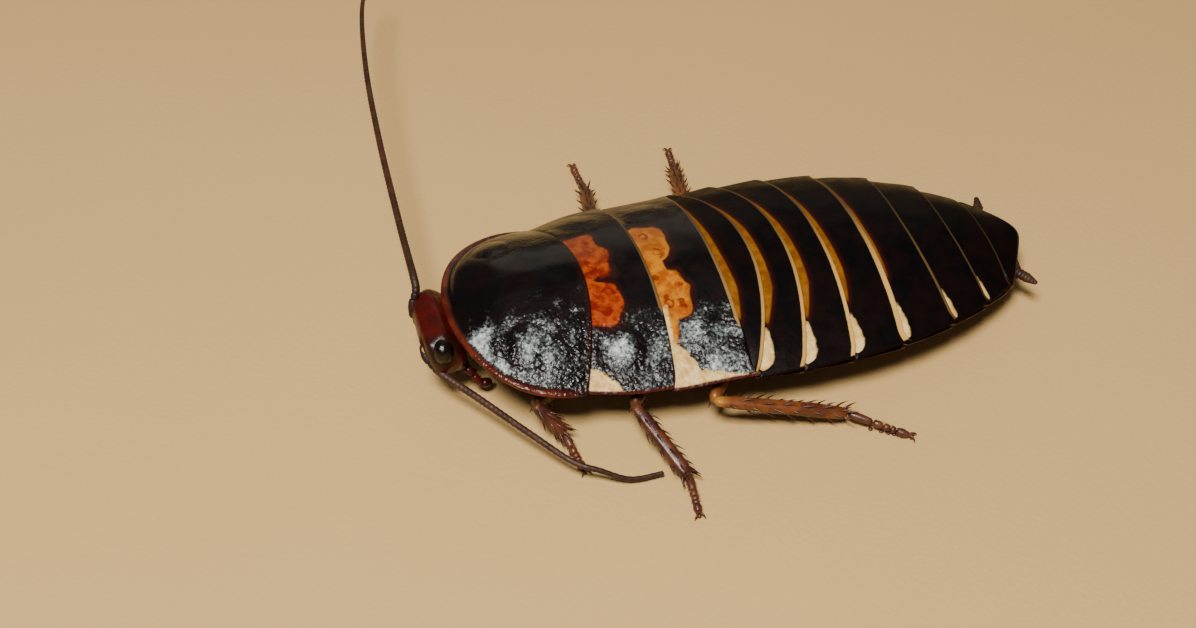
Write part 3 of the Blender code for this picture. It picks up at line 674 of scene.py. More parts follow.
def make_shield(finish):
    """The pronotum: rings spread from the middle of the upper face to the outline, roll over the
    rim in a half circle and close again below.
    """
    offset = shield_outline(SHIELD_POINTS) - SHIELD_CENTRE
    size = np.linalg.norm(offset, axis=1)
    turn = np.linspace(0, math.pi, 9)[1:-1]
    out = 1 - (1 - np.linspace(0.01, 1, UPPER_RINGS)) ** 1.3
    back = np.linspace(1, 0.02, LOWER_RINGS)
    reach = np.concatenate([out, np.ones(len(turn)), back])
    depth = np.concatenate([0 * out, (1 - np.cos(turn)) / 2, np.ones(LOWER_RINGS)])
    bulge = np.concatenate([0 * out, np.sin(turn) * 0.14, 0 * back])
    spread = reach[:, None] + bulge[:, None] / size[None]
    plan = offset[None] * spread[..., None] + SHIELD_CENTRE
    lateral, station = plan[..., 0], plan[..., 1]
    rim, dome = shield_height(lateral, station)
    from_edge = (1 - reach[:, None]) * size[None]
    forward = ramp(station, 9.2, 7.2)
    rough = ramp(np.abs(lateral - SHIELD_SHIFT), 1.6, 4.2) * np.where(lateral > 0, 1.0, 0.12)
    relief = shield_relief(lateral, station, rough) * ramp(from_edge, 0.5, 1.4)
    bead = 0.14 * hill(from_edge, 0.2) - 0.12 * hill(from_edge - 0.5, 0.26)
    thin = 0.5 - 0.2 * hill(from_edge, 0.8)
    top = rim + dome + (relief + bead * forward) * (1 - depth)[:, None]
    under = rim + dome * 0.84 - thin + 0.1 * hill(from_edge, 0.4)
    height = top + (under - top) * depth[:, None]
    rings = np.stack([lateral, station, height], axis=-1)
    surface = closed_surface(
        rings,
        edge=from_edge, forward=forward, grain=rough, inner=depth[:, None],
        glint=shield_glint(lateral, station, from_edge),
    )
    make_piece("shell_pronotum", [surface], finish, ["pronotum"])


# The underside

def make_sternites(finish):
    """The belly plates of the abdomen, each lapping over the next as the back's plates do."""
    for seed, name in enumerate(ABDOMEN):
        relief = faint_relief(1.8, seed + SEEDS["belly"])
        rings, across, along, length, depth = plate_rings(
            name, belly_height, -BELLY_THICKNESS, *BELLY_GRID, relief, BELLY_REACH
        )
        lip = 0.25 - (1 - along) * length
        surface = closed_surface(rings, lip=lip, margin=np.abs(across), inner=depth)
        make_piece("sternite_" + name, [surface], finish, [name])


def make_core(finish):
    """The soft body between the plates: an oval loft whose top follows the plates just below
    them and whose underside is the chest, then the belly just above its plates.
    """
    stations = np.concatenate([np.linspace(2.75, 11.5, 40), np.linspace(11.8, 43.9, 110)])
    turn = full_turn(96)
    chest = smooth_value(CHEST_STATIONS, CHEST_HALF_WIDTHS, stations)
    width = np.where(stations < 23, chest, half_width(stations) * CORE_REACH)
    station = np.repeat(stations[:, None], len(turn), axis=1)
    lateral = width[:, None] * np.cos(turn)[None]
    lift = np.abs(np.sin(turn))[None] ** 0.62
    across = lateral / half_width(station)
    rim, dome = shield_height(lateral, station)
    below_shield = rim + dome * 0.84 - 0.62
    below_plates = back_height(across, station, 0.0) - 0.5
    blend = ramp(station, 9.6, 11.2)
    top = below_shield + (np.minimum(below_plates, below_shield + 3 * blend) - below_shield) * blend
    chest_floor = 3.35 + 0.9 * np.abs(np.cos(turn))[None] ** 6 + 0.05 * np.sin(station * 2.1)
    belly_floor = belly_height(across, station, 0.0) + 0.34
    part = ramp(station, 20.0, 22.4)
    floor = chest_floor + (belly_floor - chest_floor) * part * part * (3 - 2 * part)
    middle = np.minimum(
        smooth_value(BODY_STATIONS, MARGIN_HEIGHTS, station) - 0.62, rim - 1.1
    )
    middle = np.where(station < 11, rim - 1.1 - 0.35 * blend, middle)
    height = np.where(np.sin(turn)[None] >= 0, middle + (top - middle) * lift,
                      middle - (middle - floor) * lift)
    rings = np.stack([lateral, station, height], axis=-1)
    surface = closed_surface(rings, along=station)
    make_piece("soft_body", [surface], finish,
               ["prothorax", "mesothorax", "metathorax"])


def make_chest_plates(finish):
    """The hard plates under the chest, a keeled shield before each pair of legs."""
    surfaces = []
    reach = np.linspace(0.04, 1, 14)
    reach = np.concatenate([reach, reach[::-1]])
    turn = full_turn(40)
    depth = np.repeat([0.0, 1.0], 14)[:, None]
    for station, length, width in CHEST_PLATES:
        point = 1 + 0.25 * np.cos(2 * turn)[None]
        lateral = width * reach[:, None] * np.cos(turn)[None] * point
        along = station + length / 2 * reach[:, None] * np.sin(turn)[None]
        bulge = 0.3 * np.sqrt(np.clip(1 - reach[:, None] ** 2, 0, 1)) + 0.1 * hill(lateral, 0.3)
        height = 3.42 - bulge * (1 - depth) + 0.2 * depth
        surfaces.append(closed_surface(np.stack([lateral, along, height], axis=-1), lip=-1.0))
    make_piece("chest_plates", surfaces, finish, [])


# The head

def head_point(around, down, grown=0.0):
    """A point of the head: an ovoid with full corners that narrows to the mouth, tilted with the
    mouth back.

    "around" turns from the animal's left over the face, "down" runs from the crown (0) to the
    mouth (pi).
    """
    level = np.cos(down)
    low = np.clip(-level, 0, 1)
    girth = np.sin(down) ** (HEAD_SQUARENESS + 0.3 * low) * (1 - 0.22 * low**1.5)
    wide = np.sign(np.cos(around)) * np.abs(np.cos(around)) ** HEAD_CORNERS
    deep = np.sign(np.sin(around)) * np.abs(np.sin(around)) ** HEAD_CORNERS
    x = wide * girth * (1 + HEAD_TAPER * level) * (HEAD_RADII[0] + grown)
    swell = ramp(level, 0.8, 0.45) * HEAD_BACK
    depth = -deep * girth * (HEAD_RADII[1] + grown + swell * (deep < 0))
    height = level * (HEAD_RADII[2] + grown)
    station = HEAD_CENTRE[1] + depth * math.cos(HEAD_TILT) - height * math.sin(HEAD_TILT)
    rise = HEAD_CENTRE[2] + depth * math.sin(HEAD_TILT) + height * math.cos(HEAD_TILT)
    return np.stack([HEAD_CENTRE[0] + x, station, rise], axis=-1)


def make_head(finish):
    """The head capsule with its face, sockets and seams."""
    down = np.linspace(0.04, math.pi - 0.04, 150)[:, None]
    around = full_turn(320)[None]
    shape = head_point(around, down)
    level = np.cos(down)
    face = np.clip(np.sin(around), 0, 1) * np.sin(down)
    lateral = shape[..., 0]
    seam = hill(np.abs(lateral) - 0.95 * np.clip(0.6 - level, 0, 1.0), 0.11) * (level > -0.42)
    plate = np.maximum(np.abs(lateral) / 1.5, np.abs(level + 0.66) / 0.2)
    groove = hill(plate - 1.0, 0.09)
    cheek = hill(np.abs(lateral) - 2.35 + 0.9 * np.clip(-level, 0, 1), 0.12) * (level < 0.25)
    lines = np.clip(seam + groove + 0.8 * cheek, 0, 1) * face
    relief = -0.085 * lines + 0.14 * ramp(plate, 1, 0.75) * face
    relief -= 0.10 * hill(np.hypot(np.abs(lateral) - 1.75, (level + 0.28) * 2.4), 0.55) * face
    socket = np.hypot(np.abs(lateral) - SOCKET_SIDE, (level - SOCKET_LEVEL) * 2.5)
    relief += (0.15 * hill(socket - 0.5, 0.14) - 0.16 * hill(socket, 0.34)) * (face > 0)
    relief += 0.22 * hill(lateral, 1.9) * face * np.clip(level + 0.5, 0, 1)
    relief += 0.012 * ripple(shape, 0.7, SEEDS["head"])
    outward = shape - HEAD_CENTRE
    outward /= np.linalg.norm(outward, axis=-1)[..., None]
    rings = shape + outward * relief[..., None]
    from_eyes = [np.linalg.norm(shape - centre, axis=-1) for centre in EYE_PLACES.values()]
    surface = closed_surface(
        rings, level=level, face=face, seam=lines, orbit=hill(np.minimum(*from_eyes), 1.5)
    )
    make_piece("head_capsule", [surface], finish, ["head"])


def make_eyes(finish):
    """Each eye: an egg shape with a shallow notch towards the feeler."""
    down = np.linspace(0.03, math.pi - 0.03, 48)[:, None]
    around = full_turn(64)[None]
    notch = 1 - 0.14 * hill(np.abs(np.angle(np.exp(1j * (around - math.pi * 1.5)))), 0.7)
    x = np.sin(down) * np.cos(around) * EYE_RADII[0] * notch
    y = np.sin(down) * np.sin(around) * EYE_RADII[1] * notch
    z = np.cos(down) * EYE_RADII[2] + 0 * around
    for name, centre in EYE_PLACES.items():
        rings = centre + np.stack([x, y, z], axis=-1)
        surface = closed_surface(rings, level=np.cos(down))
        make_piece("lens_" + name, [surface], finish, [name])


def make_face_spots(finish):
    """A small pale spot near each eye."""
    surfaces = []
    for side in (1, -1):
        middle = head_point(math.pi / 2 - side * 0.36, 0.98, 0.02)
        surfaces.append(small_dome(middle, middle - HEAD_CENTRE, 0.22, 0.05))
    make_piece("face_spots", surfaces, finish, [])


def small_dome(centre, facing, radius, rise):
    """A low round button: rings shrink over the top in a quarter circle and close below."""
    facing = np.asarray(facing) / np.linalg.norm(facing)
    side = np.cross(facing, (0.0, 0.0, 1.0) if abs(facing[2]) < 0.9 else (1.0, 0.0, 0.0))
    side /= np.linalg.norm(side)
    above = np.cross(side, facing)
    angle = np.linspace(-0.4, math.pi / 2 - 0.08, 10)
    turn = full_turn(20)
    wide = radius * np.cos(angle)[:, None, None]
    spread = np.cos(turn)[None, :, None] * side + np.sin(turn)[None, :, None] * above
    rings = centre + wide * spread + (rise * np.sin(angle))[:, None, None] * facing
    return closed_surface(rings)


def make_mouth(finish):
    """The lip and the jaws behind it."""
    path = smooth_path(((0, 1.66, 2.1), (0, 1.9, 1.5), (0, 2.2, 0.95)), 26)
    along = np.linspace(0, 1, 26)
    ends = rounded_ends(26, 0.16)
    step = 1 - 0.1 * hill(along - 0.5, 0.07)
    wide = np.interp(along, (0, 0.5, 1), (1.15, 1.02, 0.7)) * ends * step
    high = 0.42 * ends * step
    surfaces = [tube(path, wide, high, 36, (0, -1, 0.4), level=-along[:, None], face=1.0)]
    for side in (1, -1):
        jaw = smooth_path(
            ((side * 1.05, 2.1, 2.2), (side * 0.9, 2.4, 1.65), (side * 0.35, 2.5, 1.2)), 18
        )
        ends = rounded_ends(18, 0.2)
        surfaces.append(
            tube(jaw, 0.34 * ends, 0.4 * ends, 20, (0, -1, 0.4), level=-1.0, face=0.0)
        )
    make_piece("mouth_parts", surfaces, finish, ["labrum"])


def make_palps(finish):
    """The two jointed feelers of the mouth at each side, the outer one long and the inner short."""
    for name, side in (("palp_left", 1), ("palp_right", -1)):
        path = smooth_path(
            ((side * 1.6, 2.1, 3.1), (side * 2.3, 2.8, 2.2), (side * 2.4, 3.3, 1.5),
             (side * 2.0, 4.0, 1.0)), 70,
        )
        surfaces = jointed(path, (0.0, 0.2, 0.42, 0.72, 1.0), (0.26, 0.28, 0.3, 0.36), 16)
        inner = smooth_path(
            ((side * 0.9, 2.5, 2.6), (side * 1.25, 2.75, 1.9), (side * 1.15, 3.15, 1.35)), 40,
        )
        surfaces += jointed(inner, (0.0, 0.34, 0.66, 1.0), (0.18, 0.2, 0.24), 12)
        make_piece("jointed_" + name, surfaces, finish, [name])


def jointed(path, stops, radii, sides):
    """A limb of several joints: each is a tube that narrows to its ends, the last one rounded."""
    surfaces = []
    total = len(path) - 1
    for start, end, radius in zip(stops[:-1], stops[1:], radii):
        piece = path[int(start * total):int(end * total) + 1]
        count = 14
        steps = np.arange(len(piece))
        centre = points_at(np.linspace(0, steps[-1], count), steps, piece)
        along = np.linspace(0, 1, count)
        swell = (0.72 + 0.28 * np.sin(math.pi * along**0.8)) * rounded_ends(count, 0.12)
        wide = radius * swell
        surfaces.append(tube(centre, wide, wide, sides, (0, 0.3, 1), along=along[:, None]))
    return surfaces


# Feelers and tail feelers

def make_feelers(finish):
    """Each feeler: a stout first joint, a short second one, and a lash of fine rings that swell
    towards their outer ends and grow longer and thinner to the tip.
    """
    for side, points in FEELER_PATHS.items():
        path = smooth_path(points, 1200)
        lengths = distances(path)
        total = lengths[-1]
        base = []
        for stops, radii, count, sides in FEELER_JOINTS:
            along = np.linspace(stops[0], stops[-1], count)
            radius = np.interp(along, stops, radii)
            centre = points_at(along, lengths, path)
            base.append(tube(centre, radius, radius, sides, (0.1, 0, 1), tip=0.0))
        make_piece("feeler_base_" + side, base, finish, ["antenna_%s_base" % side])

        share = np.linspace(0, 1, int(total * RINGS_PER_MM))
        joints = LASH_START + (total - LASH_START) * (0.62 * share + 0.38 * share**1.7)
        places = np.linspace(0, 1, len(RING_PROFILE), endpoint=False) + 0.1
        distance = joints[:-1, None] + np.diff(joints)[:, None] * places
        distance = np.append(distance.ravel(), total)
        swell = np.append(np.tile(RING_PROFILE, len(joints) - 1), 0.35)
        along = distance / total
        radii = np.interp(along, (0, 0.12, 0.6, 1.0), (0.3, 0.27, 0.22, 0.16)) * swell
        middle = points_at(distance, lengths, path)
        middle[:, 2] = np.maximum(middle[:, 2], radii)
        surfaces = [tube(middle, radii, radii, 12, (0.1, 0, 1), tip=along[:, None])]
        nodes = ["antenna_%s_%d" % (side, number) for number in (1, 2, 3)]
        make_piece("feeler_lash_" + side, surfaces, finish, nodes)


def make_tail_feelers(finish):
    """The two short tapering tail feelers, ringed by their joints."""
    for name, side in (("cercus_left", 1), ("cercus_right", -1)):
        path = smooth_path(
            ((side * 3.3, 43.15, 3.0), (side * 4.3, 43.65, 3.0), (side * 5.2, 43.9, 3.2)), 60
        )
        along = np.linspace(0, 1, 60)
        rings = 1 + 0.09 * np.abs(np.sin(along * math.pi * 7))
        radii = np.interp(along, (0, 0.5, 1), (0.36, 0.38, 0.14)) * rings * rounded_ends(60, 0.06)
        surface = tube(path, radii, radii * 0.85, 18, (0, 0, 1), tip=along[:, None])
        make_piece("ringed_" + name, [surface], finish, [name])


# Legs

def limb_frame(start, end):
    """The unit directions along a limb, to its side and above it."""
    axis = (end - start) / np.linalg.norm(end - start)
    side = np.cross(axis, (0, 0, 1))
    side /= np.linalg.norm(side)
    return axis, side, np.cross(side, axis)


def spine_rows(start, end, count, radius, span, reach, chance):
    """Spines in five rows along a limb, each leaning towards its end and rising from a small
    round socket.
    """
    axis, side, above = limb_frame(start, end)
    surfaces = []
    rows = (75, -75, 20, -20, 150)
    for index in range(count):
        part = span[0] + (span[1] - span[0]) * index / max(count - 1, 1)
        turn = math.radians(rows[index % 5] + chance.uniform(-12, 12))
        outward = above * math.cos(turn) + side * math.sin(turn)
        root = start + (end - start) * part + outward * radius * 0.62
        lean = outward * 0.5 + axis * chance.uniform(0.8, 1.1)
        lean /= np.linalg.norm(lean)
        size = chance.uniform(*reach)
        surfaces.append(spike(root, root + lean * size, 0.10, outward * 0.08))
        surfaces.append(spike(root - outward * 0.05, root + outward * 0.16, 0.16, (0, 0, 0), 7, 4))
    return surfaces


def hairs(start, end, count, radius, size, chance):
    """Fine short hairs all round a limb, leaning towards its end."""
    axis, side, above = limb_frame(start, end)
    surfaces = []
    for _ in range(count):
        part = chance.uniform(0.06, 0.94)
        turn = chance.uniform(0, 2 * math.pi)
        outward = above * math.cos(turn) + side * math.sin(turn)
        root = start + (end - start) * part + outward * radius * 0.8
        tip = root + (outward * 0.75 + axis) * size * chance.uniform(0.6, 1.1)
        tip[2] = max(tip[2], 0.05)
        surfaces.append(spike(root, tip, 0.03, outward * 0.03, 3, 4))
    return surfaces


def make_coxa(name, points, finish):
    """The stout first part of a leg: an oval tube that bulges before its middle."""
    count = 44
    along = np.linspace(0, 1, count)
    inside = (points[0][0], points[0][1] - 0.35, 3.5)
    path = smooth_path(np.concatenate([[inside], points]), count)
    wide = np.interp(along, (0, 0.35, 0.75, 1), (0.95, 1.15, 0.95, 0.6))
    wide = wide * rounded_ends(count, 0.12)
    surface = tube(path, wide, wide * 0.82, 36, (1, 0, 0.2), along=along[:, None])
    make_piece("skin_coxa_" + name, [surface], finish, ["coxa_" + name])


def make_femur(name, hip, knee, chance, finish):
    """The femur with its small ring at the hip, a row of spines below it and fine hairs."""
    count = 48
    along = np.linspace(0, 1, count)
    axis, side, above = limb_frame(hip, knee)
    bow = above * 0.12 * np.sin(math.pi * along)[:, None]
    path = hip + (knee - hip) * along[:, None] + bow
    high = np.interp(
        along, (0, 0.08, 0.14, 0.2, 0.5, 0.85, 1), (0.42, 0.5, 0.44, 0.56, 0.8, 0.58, 0.46)
    )
    high = high * rounded_ends(count, 0.07)
    surfaces = [tube(
        path, high * 0.78, high, 28, (0, 0, 1),
        along=along[:, None], knee=0.5 * ramp(along, 0.82, 0.97)[:, None],
    )]
    for index in range(7):
        part = 0.35 + 0.55 * index / 6
        turn = -1 if index % 2 else 1
        root = hip + (knee - hip) * part - above * 0.4 + side * 0.22 * turn
        lean = -above * 0.8 + axis * 0.6 + side * 0.25 * turn
        surfaces.append(spike(root, root + lean * chance.uniform(0.55, 0.8), 0.1, axis * 0.05))
    surfaces += hairs(hip, knee, 40, 0.6, 0.28, chance)
    make_piece("skin_femur_" + name, surfaces, finish, ["femur_" + name])


def make_tibia(name, knee, ankle, spines, chance, finish):
    """The tibia: a grooved tube with rows of spines, four spurs at the ankle and fine hairs."""
    count = 56
    axis, side, above = limb_frame(knee, ankle)
    along = np.linspace(0, 1, count)
    path = knee + (ankle - knee) * along[:, None] + above * 0.05 * np.sin(math.pi * along)[:, None]
    size = np.interp(along, (0, 0.06, 0.2, 0.75, 0.94, 1), (0.36, 0.42, 0.5, 0.56, 0.5, 0.36))
    size = size * rounded_ends(count, 0.05)
    turn = full_turn(30)
    groove = 1 - 0.08 * np.abs(np.cos(turn * 2.5))[None]
    ring = carried_ring(path, size, size * 0.86, 30, (0, 0, 1))
    ring = path[:, None] + (ring - path[:, None]) * groove[..., None]
    surfaces = [closed_surface(
        ring, along=along[:, None], knee=ramp(along, 0.16, 0)[:, None],
    )]
    surfaces += spine_rows(knee, ankle, spines, 0.5, (0.12, 0.93), (0.85, 1.3), chance)
    for turn in (-100, -35, 35, 100):
        outward = above * math.cos(math.radians(turn)) + side * math.sin(math.radians(turn))
        root = ankle - axis * 0.35 + outward * 0.28
        tip = root + axis * 0.9 + outward * 0.55
        tip[2] = max(tip[2], 0.08)
        surfaces.append(spike(root, tip, 0.11, outward * 0.06))
    surfaces += hairs(knee, ankle, 60, 0.5, 0.3, chance)
    make_piece("skin_tibia_" + name, surfaces, finish, ["tibia_" + name])


def make_tarsus(name, ankle, foot, chance, finish):
    """The foot: five joints, a pad under each of the first four, two claws with a pad between
    them, and fine hairs. Points that would fall below the floor are laid on it.
    """
    path = smooth_path([ankle + (foot - ankle) * part for part in (0, 0.35, 0.7, 1)], 120)
    path[:, 2] = np.maximum(path[:, 2], 0.27)
    stops = (0.0, 0.42, 0.58, 0.7, 0.79, 1.0)
    surfaces = jointed(path, stops, (0.3, 0.27, 0.26, 0.26, 0.3), 18)
    heading = np.array([foot[0] - ankle[0], foot[1] - ankle[1], 0.0])
    heading /= np.linalg.norm(heading)
    across = np.array([-heading[1], heading[0], 0.0])
    for stop in stops[1:5]:
        middle = path[int(stop * 119)] - heading * 0.1
        pad = middle - [0, 0, middle[2] - 0.13]
        surfaces.append(small_dome(pad, (0, 0, -1.0), 0.17, 0.12))
    for turn in (-1, 1):
        root = foot - heading * 0.12 + [0, 0, 0.02]
        tip = foot + heading * 0.5 + across * turn * 0.42
        tip[2] = 0.07
        surfaces.append(spike(root, tip, 0.13, heading * 0.12 + [0, 0, 0.2], 8, 10))
    pad = foot + heading * 0.16 - [0, 0, foot[2] - 0.14]
    surfaces.append(small_dome(pad, heading, 0.15, 0.2))
    surfaces += hairs(ankle, foot, 60, 0.26, 0.22, chance)
    for points, *_ in surfaces:
        points[:, 2] = np.maximum(points[:, 2], 0.0)
    make_piece("skin_tarsus_" + name, surfaces, finish, ["tarsus_" + name])


def make_leg(name, chance, finishes):
    """One leg, from the coxa to the claws."""
    pair, side = name.split("_")
    mirror = np.array([1 if side == "left" else -1, 1, 1])
    coxa = mirror * np.array(COXAE[pair])
    *joints, spines = LEGS[name]
    knee, ankle, foot = np.array(joints)
    shin = finishes["hind_leg" if pair == "hind" else "leg"]
    make_coxa(name, coxa, finishes["belly"])
    make_femur(name, coxa[-1], knee, chance, shin)
    make_tibia(name, knee, ankle, spines, chance, shin)
    make_tarsus(name, ankle, foot, chance, finishes["foot"])


# Finishes

class Recipe:
    """A node tree being written. Most calls add a node and give back one of its outputs."""

    def __init__(self, tree):
        self.tree = tree

    def node(self, kind, inputs, **settings):
        """Adds a node and links each input to a socket or sets it to a value."""
        node = self.tree.nodes.new(kind)
        for label, value in settings.items():
            setattr(node, label, value)
        for key, value in dict(inputs).items():
            if isinstance(value, bpy.types.NodeSocket):
                self.tree.links.new(value, node.inputs[key])
            else:
                node.inputs[key].default_value = value
        return node

    def add(self, kind, inputs=(), output=0, **settings):
        return self.node(kind, inputs, **settings).outputs[output]

    def math(self, operation, *values, clamp=False):
        inputs = dict(enumerate(values))
        return self.add("ShaderNodeMath", inputs, operation=operation, use_clamp=clamp)

    def times(self, first, second):
        return self.math("MULTIPLY", first, second)

    def plus(self, first, second):
        return self.math("ADD", first, second)

    def minus(self, first, second):
        return self.math("SUBTRACT", first, second)

    def mix(self, share, first, second):
        colours = {0: share, 6: first, 7: second}
        return self.add("ShaderNodeMix", colours, 2, data_type="RGBA")

    def step(self, value, low, high):
        """0 below the low value and 1 above the high one, with a smooth rise between."""
        ends = {"Value": value, "From Min": low, "From Max": high}
        return self.add("ShaderNodeMapRange", ends, interpolation_type="SMOOTHSTEP")

    def field(self, label):
        """A value stored at the mesh's points."""
        return self.add("ShaderNodeAttribute", output="Fac", attribute_name=label)

    def millimetres(self):
        """Object coordinates in millimetres."""
        place = self.add("ShaderNodeTexCoord", output="Object")
        return self.add("ShaderNodeVectorMath", {0: place, "Scale": 1000.0}, operation="SCALE")

    def noise(self, place, scale, detail=3.0, roughness=0.55):
        settings = {"Vector": place, "Scale": scale, "Detail": detail, "Roughness": roughness}
        return self.add("ShaderNodeTexNoise", settings)

    def group(self, tree, inputs):
        """Places a node group and gives back the node, for its named outputs."""
        return self.node("ShaderNodeGroup", inputs, node_tree=tree)


def open_group(name, inputs):
    """The recipe and the inputs of a new shader group. An input that stands at no value is a
    place, one that stands at four numbers is a colour, and the others are plain numbers.
    """
    tree = bpy.data.node_groups.new(name, "ShaderNodeTree")
    for label, value in inputs.items():
        kind = "Vector" if value is None else "Color" if isinstance(value, tuple) else "Float"
        socket = tree.interface.new_socket(label, in_out="INPUT", socket_type="NodeSocket" + kind)
        if value is not None:
            socket.default_value = value
    return Recipe(tree), tree.nodes.new("NodeGroupInput").outputs


def close_group(recipe, results, kind="Float"):
    """Puts out a group's results and gives back the finished group."""
    for label in results:
        recipe.tree.interface.new_socket(label, in_out="OUTPUT", socket_type="NodeSocket" + kind)
    last = recipe.tree.nodes.new("NodeGroupOutput")
    for label, result in results.items():
        recipe.tree.links.new(result, last.inputs[label])
    return recipe.tree


def grain_group():
    """Leathery grain: pits between small cells, fine wrinkles and a faint large swell.

    Gives the height of the grain, a roughness, and masks of painted glints on its tops: grey
    specks, and white sparks on some of those, standing in for light sparkling on the leather; both
    grow and run together as the cover rises.
    """
    recipe, given = open_group("Leather grain and painted glints", {
        "Place": None, "Cell": 0.22, "Strength": 1.0, "Smooth roughness": 0.25, "Cover": 0.0,
    })
    place, strength, cover = given["Place"], given["Strength"], given["Cover"]
    scale = recipe.math("DIVIDE", 1.0, given["Cell"])
    wander = recipe.add(
        "ShaderNodeTexNoise", {"Vector": place, "Scale": scale, "Detail": 2.0}, "Color"
    )
    reach = (0.28, 0.28, 0.28)
    shifted = recipe.add(
        "ShaderNodeVectorMath", {0: wander, 1: reach, 2: place}, operation="MULTIPLY_ADD"
    )
    cells = recipe.add(
        "ShaderNodeTexVoronoi", {"Vector": shifted, "Scale": scale, "Smoothness": 0.35},
        feature="SMOOTH_F1",
    )
    fine = recipe.noise(place, recipe.times(scale, 1.7), 3.0, 0.6)
    swell = recipe.noise(place, recipe.times(scale, 0.3), 2.0)
    height = recipe.math("MULTIPLY_ADD", cells, -0.8, 1.0)
    height = recipe.plus(height, recipe.times(fine, 0.35))
    height = recipe.plus(height, recipe.times(swell, 1.2))
    height = recipe.times(height, strength)
    patch = recipe.times(recipe.minus(swell, 0.5), 0.35)
    rough = recipe.plus(given["Smooth roughness"], patch)
    rough = recipe.math("ADD", rough, recipe.times(strength, 0.05), clamp=True)
    top = recipe.minus(fine, recipe.times(cells, 0.3))
    level = recipe.plus(top, recipe.times(cover, 0.34))
    specks = recipe.step(level, 0.38, 0.78)
    specks = recipe.times(specks, recipe.step(cover, 0.0, 0.25))
    spread = recipe.noise(place, recipe.times(scale, 0.9), 2.0, 0.7)
    spread = recipe.plus(spread, recipe.times(cover, 0.20))
    sparks = recipe.times(specks, recipe.step(spread, 0.50, 0.96))
    results = {"Height": height, "Roughness": rough, "Glint specks": specks, "Sparks": sparks}
    return close_group(recipe, results)


def ragged_group():
    """A mask with an uneven edge: the distance inside a marking, moved by noise, then stepped."""
    recipe, given = open_group("Ragged edge", {
        "Distance": 0.0, "Place": None, "Size": 2.0, "Raggedness": 0.15, "Softness": 0.06,
    })
    noise = recipe.noise(given["Place"], given["Size"], 3.0, 0.6)
    shift = recipe.minus(noise, 0.5)
    shift = recipe.times(shift, given["Raggedness"])
    moved = recipe.plus(given["Distance"], shift)
    soft = given["Softness"]
    mask = recipe.step(moved, recipe.times(soft, -1.0), soft)
    return close_group(recipe, {"Mask": mask})


def mottle_group():
    """Two colours mixed in soft blotches."""
    recipe, given = open_group("Mottle", {
        "Place": None, "Size": 0.6, "First": (0.5, 0.5, 0.5, 1), "Second": (0.2, 0.2, 0.2, 1),
    })
    broad = recipe.noise(given["Place"], given["Size"], 3.0, 0.6)
    colour = recipe.mix(recipe.step(broad, 0.36, 0.64), given["First"], given["Second"])
    return close_group(recipe, {"Colour": colour}, "Color")


def grained(recipe, groups, place, cell, strength, roughness, cover=0.0):
    """The grain group's outputs for a size of cell in millimetres."""
    inputs = {
        "Place": place, "Cell": cell, "Strength": strength, "Smooth roughness": roughness,
        "Cover": cover,
    }
    return recipe.group(groups["grain"], inputs).outputs


def mottled(recipe, groups, place, size, first, second):
    """Two colours mixed by the mottle group."""
    inputs = {"Place": place, "Size": size, "First": first, "Second": second}
    return recipe.group(groups["mottle"], inputs).outputs[0]


def principled(material, gloss, colour, roughness, normal):
    """Sets the shader's gloss and links the sockets that change over the surface."""
    tree = material.node_tree
    sockets = tree.nodes["Principled BSDF"].inputs
    sockets["Specular IOR Level"].default_value = gloss
    tree.links.new(colour, sockets["Base Color"])
    tree.links.new(roughness, sockets["Roughness"])
    tree.links.new(normal, sockets["Normal"])
    return material


def new_material(name):
    """A node material with its recipe and place in millimetres."""
    material = bpy.data.materials.new(name)
    material.use_nodes = True
    recipe = Recipe(material.node_tree)
    return material, recipe, recipe.millimetres()


def bump(recipe, height, distance_mm):
    """A bump from a height that is 1 at its greatest, that many millimetres deep."""
    inputs = {"Height": height, "Distance": distance_mm * MM, "Strength": 1.0}
    return recipe.add("ShaderNodeBump", inputs)


SHELL_CELL = 0.3
GRAIN_DEPTH = 0.08

BLACK = (0.0022, 0.0020, 0.0022, 1)
WARM_BLACK = (0.0050, 0.0024, 0.0022, 1)
MAROON = (0.045, 0.005, 0.003, 1)
RIM_BROWN = (0.085, 0.014, 0.006, 1)
RED_AMBER = (0.30, 0.045, 0.003, 1)
DEEP_RED = (0.13, 0.004, 0.002, 1)
GOLD_AMBER = (0.45, 0.155, 0.004, 1)
BURNT_AMBER = (0.27, 0.060, 0.002, 1)
STRIP_BROWN = (0.13, 0.040, 0.004, 1)
CREAM = (0.46, 0.27, 0.075, 1)
IVORY = (0.64, 0.46, 0.18, 1)
LIP_TAN = (0.070, 0.038, 0.013, 1)
LIP_DARK = (0.022, 0.014, 0.009, 1)
# Painted glints: grey specks and white sparks standing in for light sparkling on the leather.
GLINT_GREY = (0.066, 0.080, 0.082, 1)
GLINT = (0.50, 0.54, 0.52, 1)
DARK_GOLD = (0.20, 0.075, 0.006, 1)


